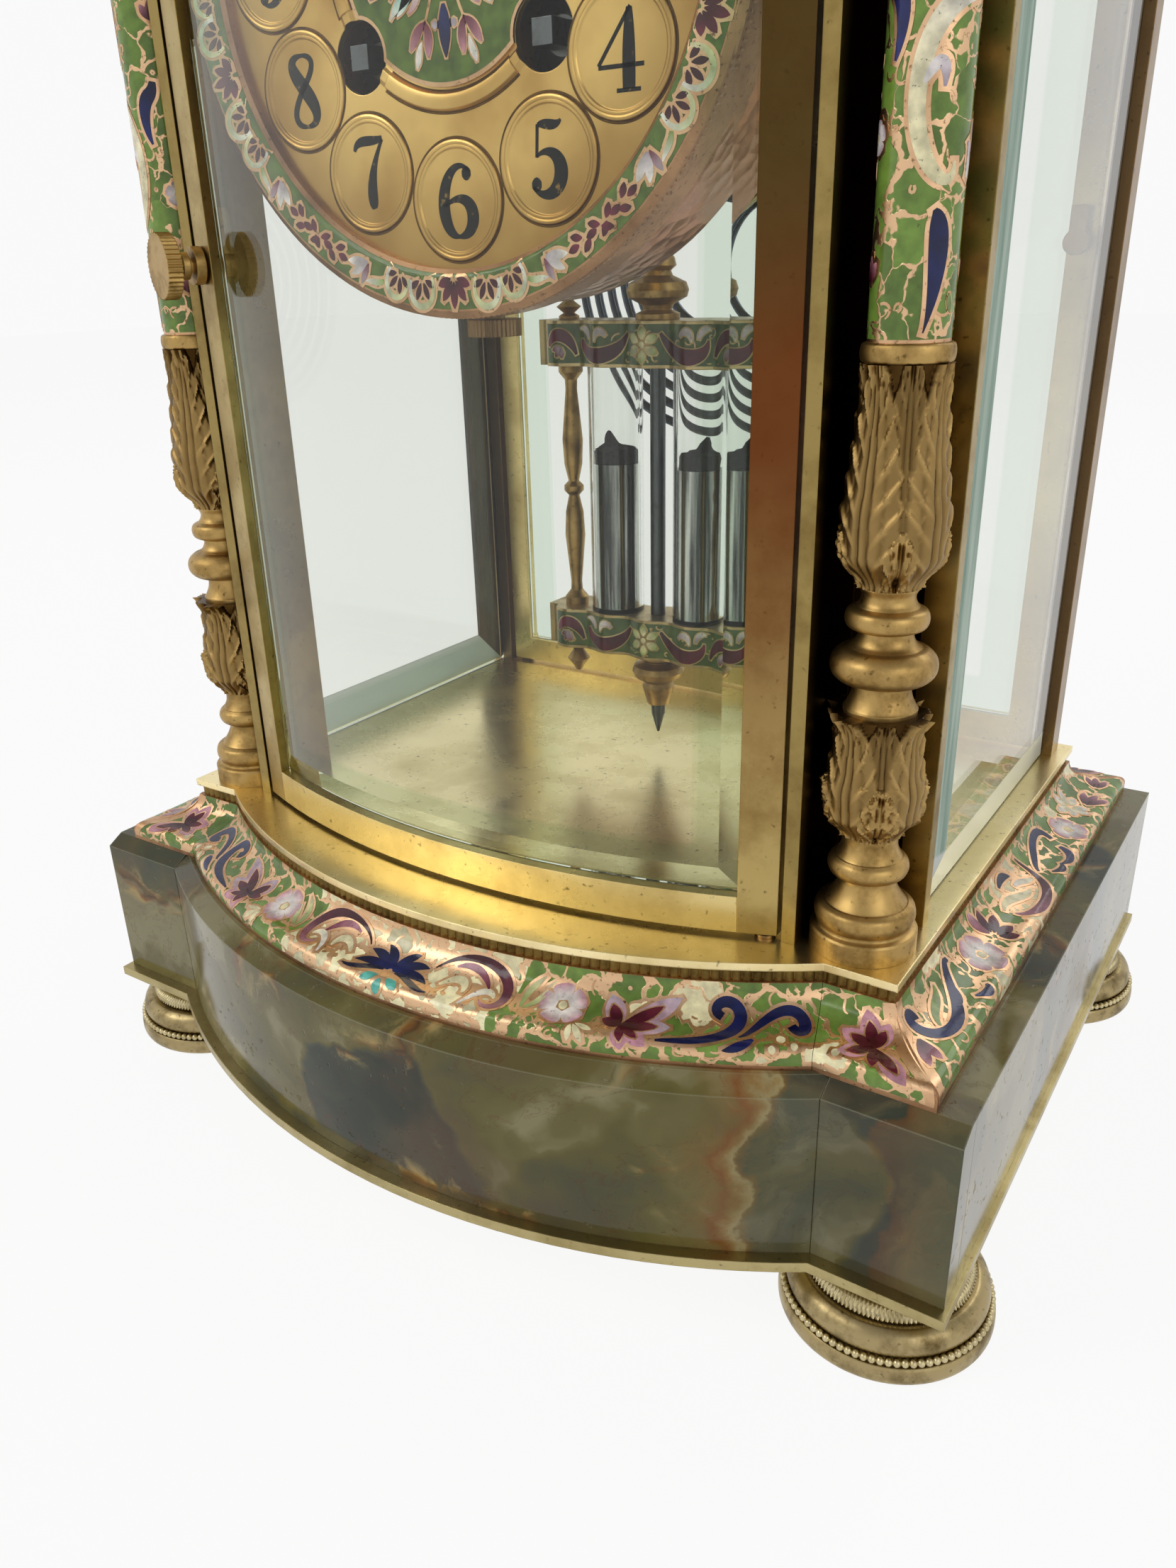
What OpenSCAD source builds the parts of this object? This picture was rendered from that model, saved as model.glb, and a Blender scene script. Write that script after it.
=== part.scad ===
// Crystal regulator: a bow-fronted mantel clock with bevelled glass walls, an onyx and
// champleve enamel base and top, enamelled columns and a two-vial mercury pendulum.
// Millimetres. +Z is up, the front faces -Y, and the origin lies under the middle of the feet.
// Inside the modules y = 0 is the front corner line of the bottom plate and z = 0 its underside.

/* [Base] */
// Width of the brass bottom plate
base_w = 220; // [210:1:240]
// Depth of the bottom plate behind its front corners
base_d = 162.4; // [158:0.2:180]
// Thickness of the bottom plate
plate_t = 2.2; // [1.5:0.1:4]
// How far the bow stands out ahead of the corners
bow_depth = 24.5; // [20:0.5:28]
// Radius of the bow of the bottom plate
bow_r = 158.5; // [150:0.5:170]
// Height of the onyx base
onyx_h = 37.1; // [30:0.1:50]
// Thickness of the front onyx slabs
slab_t = 6.5; // [5.5:0.1:9]
// Thickness of the side and back onyx slabs
wall_slab_t = 14; // [10:0.5:17]
// Depth of the chamfer along the top of the front slabs
chamfer_d = 4; // [2:0.1:4.8]
// Height of that chamfer
chamfer_h = 2.2; // [1:0.1:4]

/* [Feet] */
// Radius of a bun foot over its beaded rim
foot_r = 20.5; // [17:0.5:22]
// Height of a bun foot
foot_h = 16; // [12:0.5:22]
// Foot axis behind the plate's front corner line, and ahead of its rear edge
foot_in_y = 16.8; // [14:0.2:24]
// Foot axis inside the plate's side edge
foot_in_x = 15.6; // [13:0.2:24]

/* [Mouldings] */
// Plan width of the enamelled cove moulding
cove_w = 13; // [10:0.5:14]
// Height of the cove moulding
cove_h = 10.2; // [8:0.2:14]
// Height of the rounded nose along its outer edge
nose_h = 4.2; // [3:0.1:6]
// Visible height of the reeded riser over the cove
reed_h = 2.5; // [2:0.1:5]
// Thickness of the riser's wall
riser_t = 6; // [4:0.5:9]
// Thickness of the platform plate and of the top plate
platform_t = 1.6; // [1:0.1:3]
// Overhang of the platform plate past the riser
platform_lip = 1; // [0.6:0.1:2]
// Thickness of the onyx top slab
top_slab_t = 16; // [12:0.5:26]
// Height of the raised field on the top slab
top_field_h = 5; // [3:0.5:10]
// Inset of that raised field
top_field_in = 9; // [6:0.5:20]

/* [Case] */
// Height of the glazed case between the platform and the top plate
case_h = 240; // [232:1:270]
// Half the width of the front opening
jamb_x = 67.4; // [66:0.1:70]
// Width of a jamb strip
jamb_t = 2.7; // [2:0.1:4]
// Front face of the jambs
jamb_y = 21.4; // [20.4:0.1:23]
// Front face of the recess behind a column
notch_y = 40; // [39.5:0.1:44]
// Thickness of the recess wall
web_t = 3; // [2:0.1:5]
// Side of the case outside the axis of a column
case_over = 7.8; // [7:0.1:9]
// Width of a rear post
rear_post_w = 8; // [7:0.1:9]
// Depth of a rear post
rear_post_d = 6.4; // [5.6:0.1:8]
// Rear posts ahead of the riser's rear line
rear_post_in = 2.5; // [1:0.1:5]
// Thickness of the side glass
pane_t = 4; // [3:0.1:5]
// Width of the bevel round a side pane
pane_bevel = 10; // [5:0.5:15]

/* [Doors] */
// Radius of the front face of the bowed door
door_r = 178; // [172:0.5:186]
// Foremost line of the bowed door
door_y = 8.5; // [7:0.1:9.5]
// Depth of a door frame from front to back
frame_d = 5; // [4.4:0.1:6]
// Width of a front door stile
stile_w = 7; // [6:0.1:8]
// Height of a front door rail
rail_h = 7.5; // [5:0.1:10]
// Gap round each door
door_gap = 0.9; // [0.8:0.05:1.2]
// Thickness of the door glass
glass_t = 2.4; // [1.8:0.1:3]
// Width of the bevel down the sides of the door glass
glass_bevel = 5; // [3:0.5:8]
// Width of a rear door stile
rear_stile_w = 6; // [5.5:0.1:8]
// Height of a rear door rail
rear_rail_h = 7; // [5:0.1:10]
// Radius of a hinge pivot
pivot_r = 1; // [0.8:0.05:1.05]
// Running clearance of pivots, arbors and spindles
run = 0.05; // [0.03:0.01:0.08]
// Height of the door knobs over the platform
knob_z = 117.8; // [90:0.2:140]

/* [Columns] */
// Radius of a column's foot plate, which ends flush with the riser
column_foot_r = 9.7; // [9.2:0.1:9.8]
// Clearance between that foot plate and the jamb
column_gap = 0.4; // [0.2:0.1:1.5]
// Column axis behind the front corner line
column_y = 29.2; // [28.8:0.1:29.4]
// Radius of the enamelled shaft
shaft_r = 6.2; // [5.5:0.1:6.6]
// Height of the capital
capital_h = 36; // [30:0.5:44]

/* [Dial] */
// Depth of the dial centre below the top of the case
dial_drop = 74.7; // [72:0.1:77]
// Front face of the dial plate
dial_y = 24.5; // [24.2:0.1:26]
// Radius of the bezel
bezel_r = 57.5; // [57:0.1:58]
// Inner radius of the bezel
bezel_in_r = 49.4; // [48:0.1:50.5]
// Radius of the enamel medallion
medallion_r = 21.4; // [20:0.1:22]
// Radius of the twelve embossed rings round the numerals
cartouche_r = 9; // [8:0.1:9.2]
// Distance of those rings' centres from the middle
cartouche_at = 38.6; // [38:0.1:39]
// Winding arbors: distance from the middle
wind_x = 19.2; // [19:0.1:19.8]
// Winding arbors: distance below the dial centre
wind_z = 15.4; // [15:0.1:16]
// Width across the flats of a winding square
wind_sq = 3.8; // [3.4:0.1:4.1]
// Length of the minute hand
minute_len = 44; // [38:0.5:46]
// Length of the hour hand
hour_len = 30; // [26:0.5:34]

/* [Movement] */
// Radius of the movement plates
mov_r = 46; // [45.6:0.1:48]
// Thickness of a movement plate
mov_t = 2; // [1.5:0.1:2.5]
// Front face of the front plate
mov_y = 34; // [33.8:0.1:35]
// Clear space between the plates
mov_gap = 36; // [36:0.1:38]
// Length of the brass drum behind the dial
drum_len = 24; // [18:0.5:28]
// Radius of a barrel
barrel_r = 16.8; // [15:0.1:17.2]
// Length of a barrel behind its great wheel
barrel_len = 20; // [16:0.5:20]
// Height of the pallet arbor and suspension over the dial centre
pallet_z = 35; // [35:0.1:36]

/* [Pendulum] */
// Pendulum plane
pend_y = 93; // [91:0.5:95]
// Height of the lower enamel bar over the platform
bar_z = 26.4; // [24:0.2:34]
// Height of a bar
bar_h = 10; // [8:0.5:12]
// Half the length of a bar
bar_x = 30; // [28:0.5:34]
// Length of the vials between the bars
vial_len = 58; // [50:0.5:62]
// Radius of a vial
vial_r = 6.5; // [5.5:0.1:7]
// Vial axis from the rod
vial_x = 11.5; // [10:0.1:12.5]
// Baluster axis from the rod
baluster_x = 24; // [22:0.2:25.5]
// Height of the mercury in a vial
mercury_h = 35; // [20:0.5:50]
// Radius of the steel rod
rod_r = 1.8; // [1.4:0.05:2]

/* [Gong] */
// Radius of the gong's outer turn
gong_r = 40.4; // [36:0.2:44]
// Turns of the gong
gong_turns = 7; // [4:1:9]
// Radius of the gong wire
wire_r = 1.1; // [0.8:0.05:1.2]
// Gong plane ahead of the rear posts
gong_in = 15; // [11:0.5:21]

/* [Hidden] */
$fn = 96;

// Small gap between curved faces that are bedded or pressed together
bed_gap = 0.1;
// Axial shake of arbors and wheels between their shoulders
shake = 0.3;
// Overlap used where two runs of one solid meet
lap = 0.05;

// Heights of the stack
onyx_z = plate_t + onyx_h;
cove_z = onyx_z + cove_h;
platform_z = cove_z + reed_h;
floor_z = platform_z + platform_t;
case_top_z = floor_z + case_h;
cornice_z = case_top_z + platform_t + reed_h;
top_z = cornice_z + cove_h;

// Plan outlines: half width, front corner line, rear line and bow radius, on one bow centre
half_w = base_w / 2;
bow_cy = bow_r - bow_depth;
function setback(o, d) = [o[0] - d[0], o[1] + d[1], o[2] - d[2], o[3] - d[3]];
function inset(o, d) = setback(o, [d, d, d, d]);
function bow_x(o) = sqrt(pow(o[3], 2) - pow(bow_cy - o[1], 2));
column_x = jamb_x + jamb_t + column_gap + column_foot_r;
case_x = column_x + case_over;
riser_x = column_x + column_foot_r + bed_gap;
plate_o = [half_w, 0, base_d, bow_r];
onyx_o = setback(plate_o, [1, 2.6, 2, 2.5]);
cove_o = setback(onyx_o, [onyx_o[0] - riser_x - cove_w, 3.8, 1.5, 5]);
riser_o = inset(cove_o, cove_w);
rear_post_y = [riser_o[2] - rear_post_in - rear_post_d, riser_o[2] - rear_post_in];
gong_y = rear_post_y[0] - gong_in;
riser_inside = inset(riser_o, riser_t + 2 * bed_gap);
platform_o = inset(riser_o, -platform_lip);
foot_rear_y = base_d - foot_in_y;
plan_mid_y = (foot_rear_y + foot_r - bow_depth) / 2;

// Brings the working frame to the part's own frame
module stand() {
  translate([0, -plan_mid_y, foot_h]) children();
}

module both() {
  children();
  mirror([1, 0, 0]) children();
}

module plan(o) {
  translate([-o[0], o[1]]) square([2 * o[0], o[2] - o[1]]);
  intersection() {
    translate([0, bow_cy]) circle(o[3], $fn = 360);
    translate([-o[0], o[1] - 2 * bow_depth]) square([2 * o[0], 2 * bow_depth + 1]);
  }
}

// A plate lying in the XZ plane, from y to y + t
module upright(y, t) {
  translate([0, y + t, 0]) rotate([90, 0, 0]) linear_extrude(t) children();
}

// A round bar along Y
module bar_y(r, y0, y1) {
  translate([0, y1, 0]) rotate([90, 0, 0]) cylinder(r = r, h = y1 - y0);
}

// Base and top

foot_profile = [
  [0, -16], [0.8, -16], [0.88, -15.4], [0.95, -14.2], [0.97, -12.8], [0.93, -11.6], [0.96, -11.3],
  [1, -10.4], [0.985, -9.2], [0.93, -8.4], [0.93, -8], [0.87, -6.2], [0.79, -4.9], [0.71, -4.4],
  [0.75, -3.4], [0.74, -2.2], [0.68, -1.5], [0.66, 0], [0, 0]
];

module bun_foot() {
  rotate_extrude() polygon([for (p = foot_profile) [p[0] * foot_r, p[1] * foot_h / 16]]);
}

module bun_feet() {
  color("#b09a5c")
  both() for (y = [foot_in_y, foot_rear_y]) translate([half_w - foot_in_x, y, 0]) bun_foot();
}

module bottom_plate() {
  color("#b59f5e") linear_extrude(plate_t) plan(plate_o);
}

// Section of a front slab: d is the depth behind its face
slab_section = [
  [0, 0], [slab_t, 0], [slab_t, onyx_h], [chamfer_d, onyx_h], [0, onyx_h - chamfer_h]
];

module onyx_bow_front() {
  seam = bow_x(onyx_o) - bed_gap / 2;
  color("#6f7762")
  translate([0, 0, plate_t]) intersection() {
    translate([0, bow_cy, 0]) rotate([0, 0, 225]) rotate_extrude(angle = 90, $fn = 360)
      polygon([for (p = slab_section) [onyx_o[3] - p[0], p[1]]]);
    translate([-seam, onyx_o[1] - 2 * bow_depth, 0]) cube([2 * seam, 2 * bow_depth + slab_t, onyx_h]);
  }
}

module onyx_front_corners() {
  seam = bow_x(onyx_o) + bed_gap / 2;
  color("#666d59")
  both() translate([seam, onyx_o[1], plate_t]) rotate([90, 0, 90])
    linear_extrude(onyx_o[0] - seam) polygon(slab_section);
}

module onyx_walls() {
  y0 = onyx_o[1] + slab_t;
  back_x = onyx_o[0] - wall_slab_t - bed_gap;
  color("#616a57") {
    both() translate([onyx_o[0] - wall_slab_t, y0, plate_t])
      cube([wall_slab_t, onyx_o[2] - y0, onyx_h]);
    translate([-back_x, onyx_o[2] - wall_slab_t, plate_t]) cube([2 * back_x, wall_slab_t, onyx_h]);
  }
}

// The core that the slabs are bedded on, with a step that fills the riser
core_o = setback(onyx_o, [wall_slab_t + bed_gap, slab_t + bed_gap, wall_slab_t + bed_gap, slab_t + bed_gap]);

module stone_core() {
  color("#8d8a80") {
    translate([0, 0, plate_t]) linear_extrude(onyx_h) plan(core_o);
    translate([0, 0, onyx_z - lap]) linear_extrude(cove_h + reed_h + lap) plan(riser_inside);
  }
}

// Section of the cove moulding: d inwards from its outer face, then height
nose_r = nose_h / 2;
cove_foot_d = nose_h * 0.6;
cove_lip = 0.8;
cove_section = concat(
  [[0, 0]],
  [for (a = [0:22.5:90]) [nose_r * (1 - cos(a)), nose_h - nose_r + nose_r * sin(a)]],
  [for (a = [0:15:90]) [cove_foot_d + (cove_w - cove_lip - cove_foot_d) * sin(a),
                        cove_h - (cove_h - nose_h) * cos(a)]],
  [[cove_w, cove_h], [cove_w, 0]]
);

module cove_bar(len) {
  rotate([90, 0, 90]) linear_extrude(len) polygon(cove_section);
}

module cove_bow() {
  translate([0, bow_cy, 0]) rotate([0, 0, 225]) rotate_extrude(angle = 90, $fn = 360)
    polygon([for (p = cove_section) [cove_o[3] - p[0], p[1]]]);
}

// Plan corners of the cove: the valley beside the bow and the mitre at the corner
valley_out = [bow_x(cove_o), cove_o[1]];
valley_in = [bow_x(riser_o), riser_o[1]];
mitre_out = [cove_o[0], cove_o[1]];
mitre_in = [riser_o[0], riser_o[1]];

module mask(points) {
  translate([0, 0, -1]) linear_extrude(cove_h + 2) polygon(points);
}

module cove_front() {
  ahead = [0, -2 * bow_depth];
  intersection() {
    cove_bow();
    mask([valley_in, valley_out, valley_out + ahead, [-valley_out[0], valley_out[1] + ahead[1]],
          [-valley_out[0], valley_out[1]], [-valley_in[0], valley_in[1]]]);
  }
  both() intersection() {
    translate([valley_in[0] - 1, cove_o[1], 0]) cove_bar(half_w);
    mask([valley_out + [bed_gap, 0], mitre_out, mitre_in, valley_in + [bed_gap, 0]]);
  }
}

module cove_sides() {
  rear_out = [cove_o[0], cove_o[2]];
  rear_in = [riser_o[0], riser_o[2]];
  gap = [0, bed_gap];
  both() intersection() {
    translate([cove_o[0], 0, 0]) rotate([0, 0, 90]) cove_bar(base_d);
    mask([mitre_out + gap, rear_out - gap, rear_in - gap, mitre_in + gap]);
  }
  intersection() {
    translate([half_w, cove_o[2], 0]) rotate([0, 0, 180]) cove_bar(base_w);
    mask([rear_out, [-rear_out[0], rear_out[1]], [-rear_in[0], rear_in[1]], rear_in]);
  }
}

module riser(h) {
  linear_extrude(h) difference() {
    plan(inset(riser_o, bed_gap));
    plan(inset(riser_o, bed_gap + riser_t));
  }
}

module base_cove_front() {
  color("#6f9a3e") translate([0, 0, onyx_z]) cove_front();
}

module base_cove_sides() {
  color("#6a9440") translate([0, 0, onyx_z]) cove_sides();
}

module base_riser() {
  color("#8a7438") translate([0, 0, onyx_z]) riser(cove_h + reed_h);
}

module platform() {
  color("#c0aa66") translate([0, 0, platform_z]) linear_extrude(platform_t) plan(platform_o);
}

module top_plate() {
  color("#c0aa66") translate([0, 0, case_top_z]) {
    linear_extrude(platform_t) plan(platform_o);
    translate([0, 0, platform_t - lap]) riser(reed_h + cove_h + lap);
  }
}

module inverted() {
  translate([0, 0, top_z]) mirror([0, 0, 1]) children();
}

module cornice_front() {
  color("#6f9a3e") inverted() cove_front();
}

module cornice_sides() {
  color("#6a9440") inverted() cove_sides();
}

module onyx_top() {
  color("#6f7762") translate([0, 0, top_z]) {
    linear_extrude(top_slab_t) plan(onyx_o);
    linear_extrude(top_slab_t + top_field_h) plan(inset(onyx_o, top_field_in));
    translate([0, 0, -cove_h - reed_h]) linear_extrude(cove_h + reed_h + lap) plan(riser_inside);
  }
}

// Case frame and glass

pane_in = 0.8;
side_pane_x = case_x - pane_in;
side_pane_in_x = side_pane_x - pane_t;
front_face_y = door_y + door_r;
latch_in = 2.73;
latch_x = jamb_x - door_gap - latch_in;
latch_a = asin(latch_x / door_r);
latch_z = floor_z + knob_z;
// The turn catch behind a door frame: width, thickness, clearance and reach
catch_w = 3.2;
catch_t = 2;
catch_gap = 0.5;
catch_len = 10.5;

module front_posts() {
  color("#a98f4e") difference() {
    both() translate([0, 0, floor_z]) linear_extrude(case_h) polygon([
      [jamb_x, jamb_y], [jamb_x + jamb_t, jamb_y], [jamb_x + jamb_t, notch_y], [case_x, notch_y],
      [case_x, notch_y + web_t], [jamb_x, notch_y + web_t]
    ]);
    latch_frame()
      translate([-catch_len - catch_gap, frame_d, -catch_w / 2 - catch_gap])
        cube([catch_len, catch_t + 2 * catch_gap, catch_len + catch_w / 2 + 2 * catch_gap]);
  }
}

module rear_posts() {
  color("#a98f4e") both()
    translate([case_x - rear_post_w, rear_post_y[0], floor_z])
      cube([rear_post_w, rear_post_y[1] - rear_post_y[0], case_h]);
}

// A pane lying in the XZ plane with its bevelled face towards -Y
module pane(w, h, t, bevel) {
  edge = t * 0.45;
  function trim(s) = [[0, edge], [bevel, 0], [s - bevel, 0], [s, edge], [s, t], [0, t]];
  intersection() {
    linear_extrude(h) polygon(trim(w));
    rotate([90, 0, 90]) linear_extrude(w) polygon([for (p = trim(h)) [p[1], p[0]]]);
  }
}

module side_glasses() {
  y0 = notch_y + web_t + bed_gap;
  color("#cfe3d8", 0.4) both()
    translate([side_pane_x, y0, floor_z + bed_gap]) rotate([0, 0, 90])
      pane(rear_post_y[0] - bed_gap - y0, case_h - 2 * bed_gap, pane_t, pane_bevel);
}

// Columns: turned and cast pieces stacked on one axis

// Heights over the platform
cup_z = 22.6;
cup_h = 22.8;
vase_z = cup_z + cup_h + 21.6;
vase_h = 34.4;
collar_h = 3;
abacus_h = 4;
abacus_w = 19;
shaft_z = vase_z + vase_h + collar_h;
capital_z = case_h - capital_h;
shaft_h = capital_z - collar_h - shaft_z;

column_foot = [
  [0, 0], [column_foot_r, 0], [column_foot_r, 4.2], [9, 4.8], [8.6, 5.2], [9, 6.2], [9, 8.2], [8.4, 9.4], [7.2, 9.8],
  [5.6, 12], [5, 14], [5.6, 14.8], [7, 15.4], [7.2, 16.8], [6.6, 18.2], [5.4, 18.8], [4.9, 20.6],
  [5, cup_z], [0, cup_z]
];
column_knop = [
  [0, 0], [6.2, 0], [6.4, 1], [5.2, 3.4], [4.8, 5], [6, 5.6], [8.2, 6.4], [8.9, 8.4], [8.2, 10.6],
  [6.2, 11.6], [4.8, 12.8], [4.6, 14.2], [6.4, 15], [6.9, 16.4], [6.4, 17.8], [4.8, 18.6],
  [4.4, 20], [5, 21.6], [0, 21.6]
];
column_ring = [
  [0, 0], [shaft_r + 0.2, 0], [shaft_r + 0.9, 0.6], [shaft_r + 0.9, collar_h - 0.6],
  [shaft_r + 0.2, collar_h], [0, collar_h]
];

module at_columns(z) {
  both() translate([column_x, column_y, floor_z + z]) children();
}

module column_turnings() {
  color("#bd9c55") {
    at_columns(0) rotate_extrude() polygon(column_foot);
    at_columns(cup_z + cup_h) rotate_extrude() polygon(column_knop);
    at_columns(vase_z + vase_h) rotate_extrude() polygon(column_ring);
    at_columns(capital_z - collar_h) rotate_extrude() polygon(column_ring);
    at_columns(case_h - abacus_h) translate([-abacus_w / 2, -abacus_w / 2, 0])
      cube([abacus_w, abacus_w, abacus_h]);
  }
}

// Leaf castings: rings of a lobed outline, whose leaves stand proud by the given amounts
leaf_sides = 48;
leaf_count = 8;
cup_radii = [5, 8.2, 8.4, 7.4, 7.2, 8.2];
cup_relief = [0.2, 0.9, 1.2, 1.2, 1.4, 1.6];
vase_radii = [4.8, 8.2, 8.2, 7.4, 7, 6.8, 6.8];
vase_relief = [0.2, 0.9, 1.2, 1.2, 1.2, 1.2, 0.8];
capital_radii = [5.8, 7, 7.4, 7.6, 8.4, 9];
capital_relief = [0.4, 1, 1.2, 1.2, 1, 0.4];

function smooth(t) = t * t * (3 - 2 * t);
function between(stations, t) =
  let (n = len(stations) - 1, i = min(n - 1, floor(t * n)), f = smooth(t * n - i))
  stations[i] * (1 - f) + stations[i + 1] * f;
function leaf_lobe(a) = pow(abs(cos(a * leaf_count / 2)), 0.6);

module leaf_casting(h, radii, relief, rings) {
  points = [for (k = [0:rings], s = [0:leaf_sides - 1])
    let (t = k / rings, a = 360 * s / leaf_sides,
         r = between(radii, t) + between(relief, t) * (leaf_lobe(a) - 0.5))
    [r * cos(a), r * sin(a), t * h]];
  quads = [for (k = [0:rings - 1], s = [0:leaf_sides - 1])
    let (a = k * leaf_sides + s, b = k * leaf_sides + (s + 1) % leaf_sides)
    each [[a, a + leaf_sides, b], [b, a + leaf_sides, b + leaf_sides]]];
  caps = [[for (s = [0:leaf_sides - 1]) s],
          [for (s = [leaf_sides - 1:-1:0]) rings * leaf_sides + s]];
  polyhedron(points, concat(quads, caps));
}

module column_leaf_cups() {
  color("#b8954d") at_columns(cup_z)
    leaf_casting(cup_h, cup_radii, cup_relief, 12);
}

module column_leaf_vases() {
  color("#b8954d") at_columns(vase_z)
    leaf_casting(vase_h, vase_radii, vase_relief, 14);
}

module column_shafts() {
  color("#6f9a3e") at_columns(shaft_z) cylinder(r = shaft_r, h = shaft_h);
}

module column_capitals() {
  color("#b8954d") at_columns(capital_z)
    leaf_casting(capital_h - abacus_h, capital_radii, capital_relief, 12);
}

// Doors

door_x = jamb_x - door_gap;
door_z = floor_z + door_gap;
door_h = case_h - 2 * door_gap;
pin_in = 2.7;
pin_at = [door_x - pin_in, jamb_y + 1];
pin_len = 5;
washer_h = door_gap - 0.2;
rear_x = case_x - rear_post_w - door_gap;
rear_y = rear_post_y[1] - 0.2;
rear_pin_at = [-rear_x + 2, rear_y - 1.4];

module pivot() {
  cylinder(r = pivot_r, h = pin_len);
  cylinder(r = pivot_r + 1, h = washer_h);
}

module door_pivots() {
  color("#8d7a45") for (p = [pin_at, rear_pin_at]) translate([p[0], p[1], 0]) {
    translate([0, 0, floor_z]) pivot();
    translate([0, 0, case_top_z]) mirror([0, 0, 1]) pivot();
  }
}

module pivot_bores(p) {
  for (z = [door_z - 1, door_z + door_h - pin_len])
    translate([p[0], p[1], z]) cylinder(r = pivot_r + run, h = pin_len + 1);
}

// The curved wall of the bowed door between two radii
module bowed_wall(r0, r1, h) {
  translate([0, front_face_y, door_z]) linear_extrude(h) difference() {
    circle(r1, $fn = 360);
    circle(r0, $fn = 360);
  }
}

module latch_frame() {
  translate([-latch_x, front_face_y - door_r * cos(latch_a), latch_z]) rotate([0, 0, -latch_a])
    children();
}

spindle_r = 1.5;

module front_door_stiles() {
  color("#ae9652") difference() {
    intersection() {
      bowed_wall(door_r - frame_d, door_r, door_h);
      both() translate([door_x - stile_w, 0, 0]) cube([stile_w, notch_y, case_top_z]);
    }
    pivot_bores(pin_at);
    latch_frame() bar_y(spindle_r + run, -stile_w, stile_w + frame_d);
  }
}

module front_door_rails() {
  w = door_x - stile_w - bed_gap / 2;
  color("#ae9652") intersection() {
    bowed_wall(door_r - frame_d, door_r, door_h);
    for (z = [door_z, door_z + door_h - rail_h])
      translate([-w, 0, z]) cube([2 * w, notch_y, rail_h]);
  }
}

module front_door_glass() {
  w = door_x - stile_w - bed_gap;
  r1 = door_r - (frame_d - glass_t) / 2;
  r0 = r1 - glass_t;
  edge = glass_t * 0.45;
  h = door_h - 2 * rail_h - 2 * bed_gap;
  z0 = door_z + rail_h + bed_gap;
  section = [[r0, 0], [r1 - edge, 0], [r1, glass_bevel], [r1, h - glass_bevel], [r1 - edge, h], [r0, h]];
  color("#d6e6de", 0.35) difference() {
    intersection() {
      translate([0, front_face_y, z0]) rotate([0, 0, 225]) rotate_extrude(angle = 90, $fn = 360)
        polygon(section);
      translate([-w, 0, 0]) cube([2 * w, notch_y, case_top_z]);
    }
    both() translate([w, front_face_y - sqrt(r1 * r1 - w * w) + edge, z0 - 1])
      rotate([0, 0, asin(w / r1) + atan(edge / glass_bevel)])
        translate([-2 * glass_bevel, -glass_t * 2, 0]) cube([4 * glass_bevel, glass_t * 2, h + 2]);
  }
}

knob_r = 6.2;
knob_t = 3;
knob_out = 9;
knurl_depth = 0.35;
knurls = 40;
function knurled(r, n) =
  [for (i = [0:2 * n - 1]) let (a = 180 * i / n, k = r - knurl_depth * (i % 2)) [k * cos(a), k * sin(a)]];

// A knurled knob on a spindle along Y, pointing to -Y, with a turn catch behind the frame
module knob(catch_y, reach) {
  upright(-knob_out, knob_t) polygon(knurled(knob_r, knurls));
  bar_y(spindle_r, lap - knob_out, catch_y + catch_t);
  bar_y(spindle_r + 2.1, -2.4, -0.4);
  bar_y(spindle_r + 1.1, -4.6, -3.2);
  bar_y(spindle_r + 1.1, catch_y - 0.2, catch_y + catch_t);
  translate([-catch_w / 2, catch_y, 0]) cube([catch_w, catch_t, reach]);
}

module front_door_knob() {
  color("#a48d4c") latch_frame() knob(frame_d + catch_gap, catch_len);
}

rear_latch_x = rear_x - rear_stile_w * 0.6;

module rear_door_frame() {
  color("#ae9652") difference() {
    translate([-rear_x, rear_y - frame_d, door_z]) cube([2 * rear_x, frame_d, door_h]);
    translate([rear_stile_w - rear_x, 0, door_z + rear_rail_h])
      cube([2 * (rear_x - rear_stile_w), base_d, door_h - 2 * rear_rail_h]);
    pivot_bores(rear_pin_at);
    translate([rear_latch_x, 0, latch_z]) bar_y(spindle_r + run, base_d / 2, base_d);
  }
}

module rear_door_glass() {
  w = 2 * (rear_x - rear_stile_w - bed_gap);
  color("#d6e6de", 0.35)
    translate([w / 2, rear_y - (frame_d - glass_t) / 2, door_z + rear_rail_h + bed_gap])
      rotate([0, 0, 180]) pane(w, door_h - 2 * rear_rail_h - 2 * bed_gap, glass_t, glass_bevel);
}

module rear_door_knob() {
  color("#a48d4c") translate([rear_latch_x, rear_y, latch_z]) rotate([0, 0, 180])
    knob(rear_y - rear_post_y[0] + catch_gap, side_pane_in_x - catch_gap - rear_latch_x);
}

// Dial and hands

mov_z = case_top_z - dial_drop;
dial_t = 1.2;
cartouche_h = 0.3;
dial_back = dial_y + dial_t;
skirt_t = 1.6;
bezel_skirt = 4.3;
drum_r = bezel_r - skirt_t - bed_gap;
wind_hole_r = 5.6;
arbor_r = 3;
hour_pipe_r = 3.2;
cannon_r = 2.2;
centre_r = 0.95;
minute_y = dial_y - 4.3;
hour_y = dial_y - 2.5;
hand_t = 0.8;

module at_mov(p) {
  translate([p[0], 0, mov_z + p[1]]) children();
}

// A turned piece on a Y axis, from points of radius and y
module turned_y(points) {
  rotate([-90, 0, 0]) rotate_extrude() polygon(points);
}

module wind_holes() {
  for (s = [-1, 1]) translate([s * wind_x, -wind_z]) circle(wind_hole_r);
}

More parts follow.
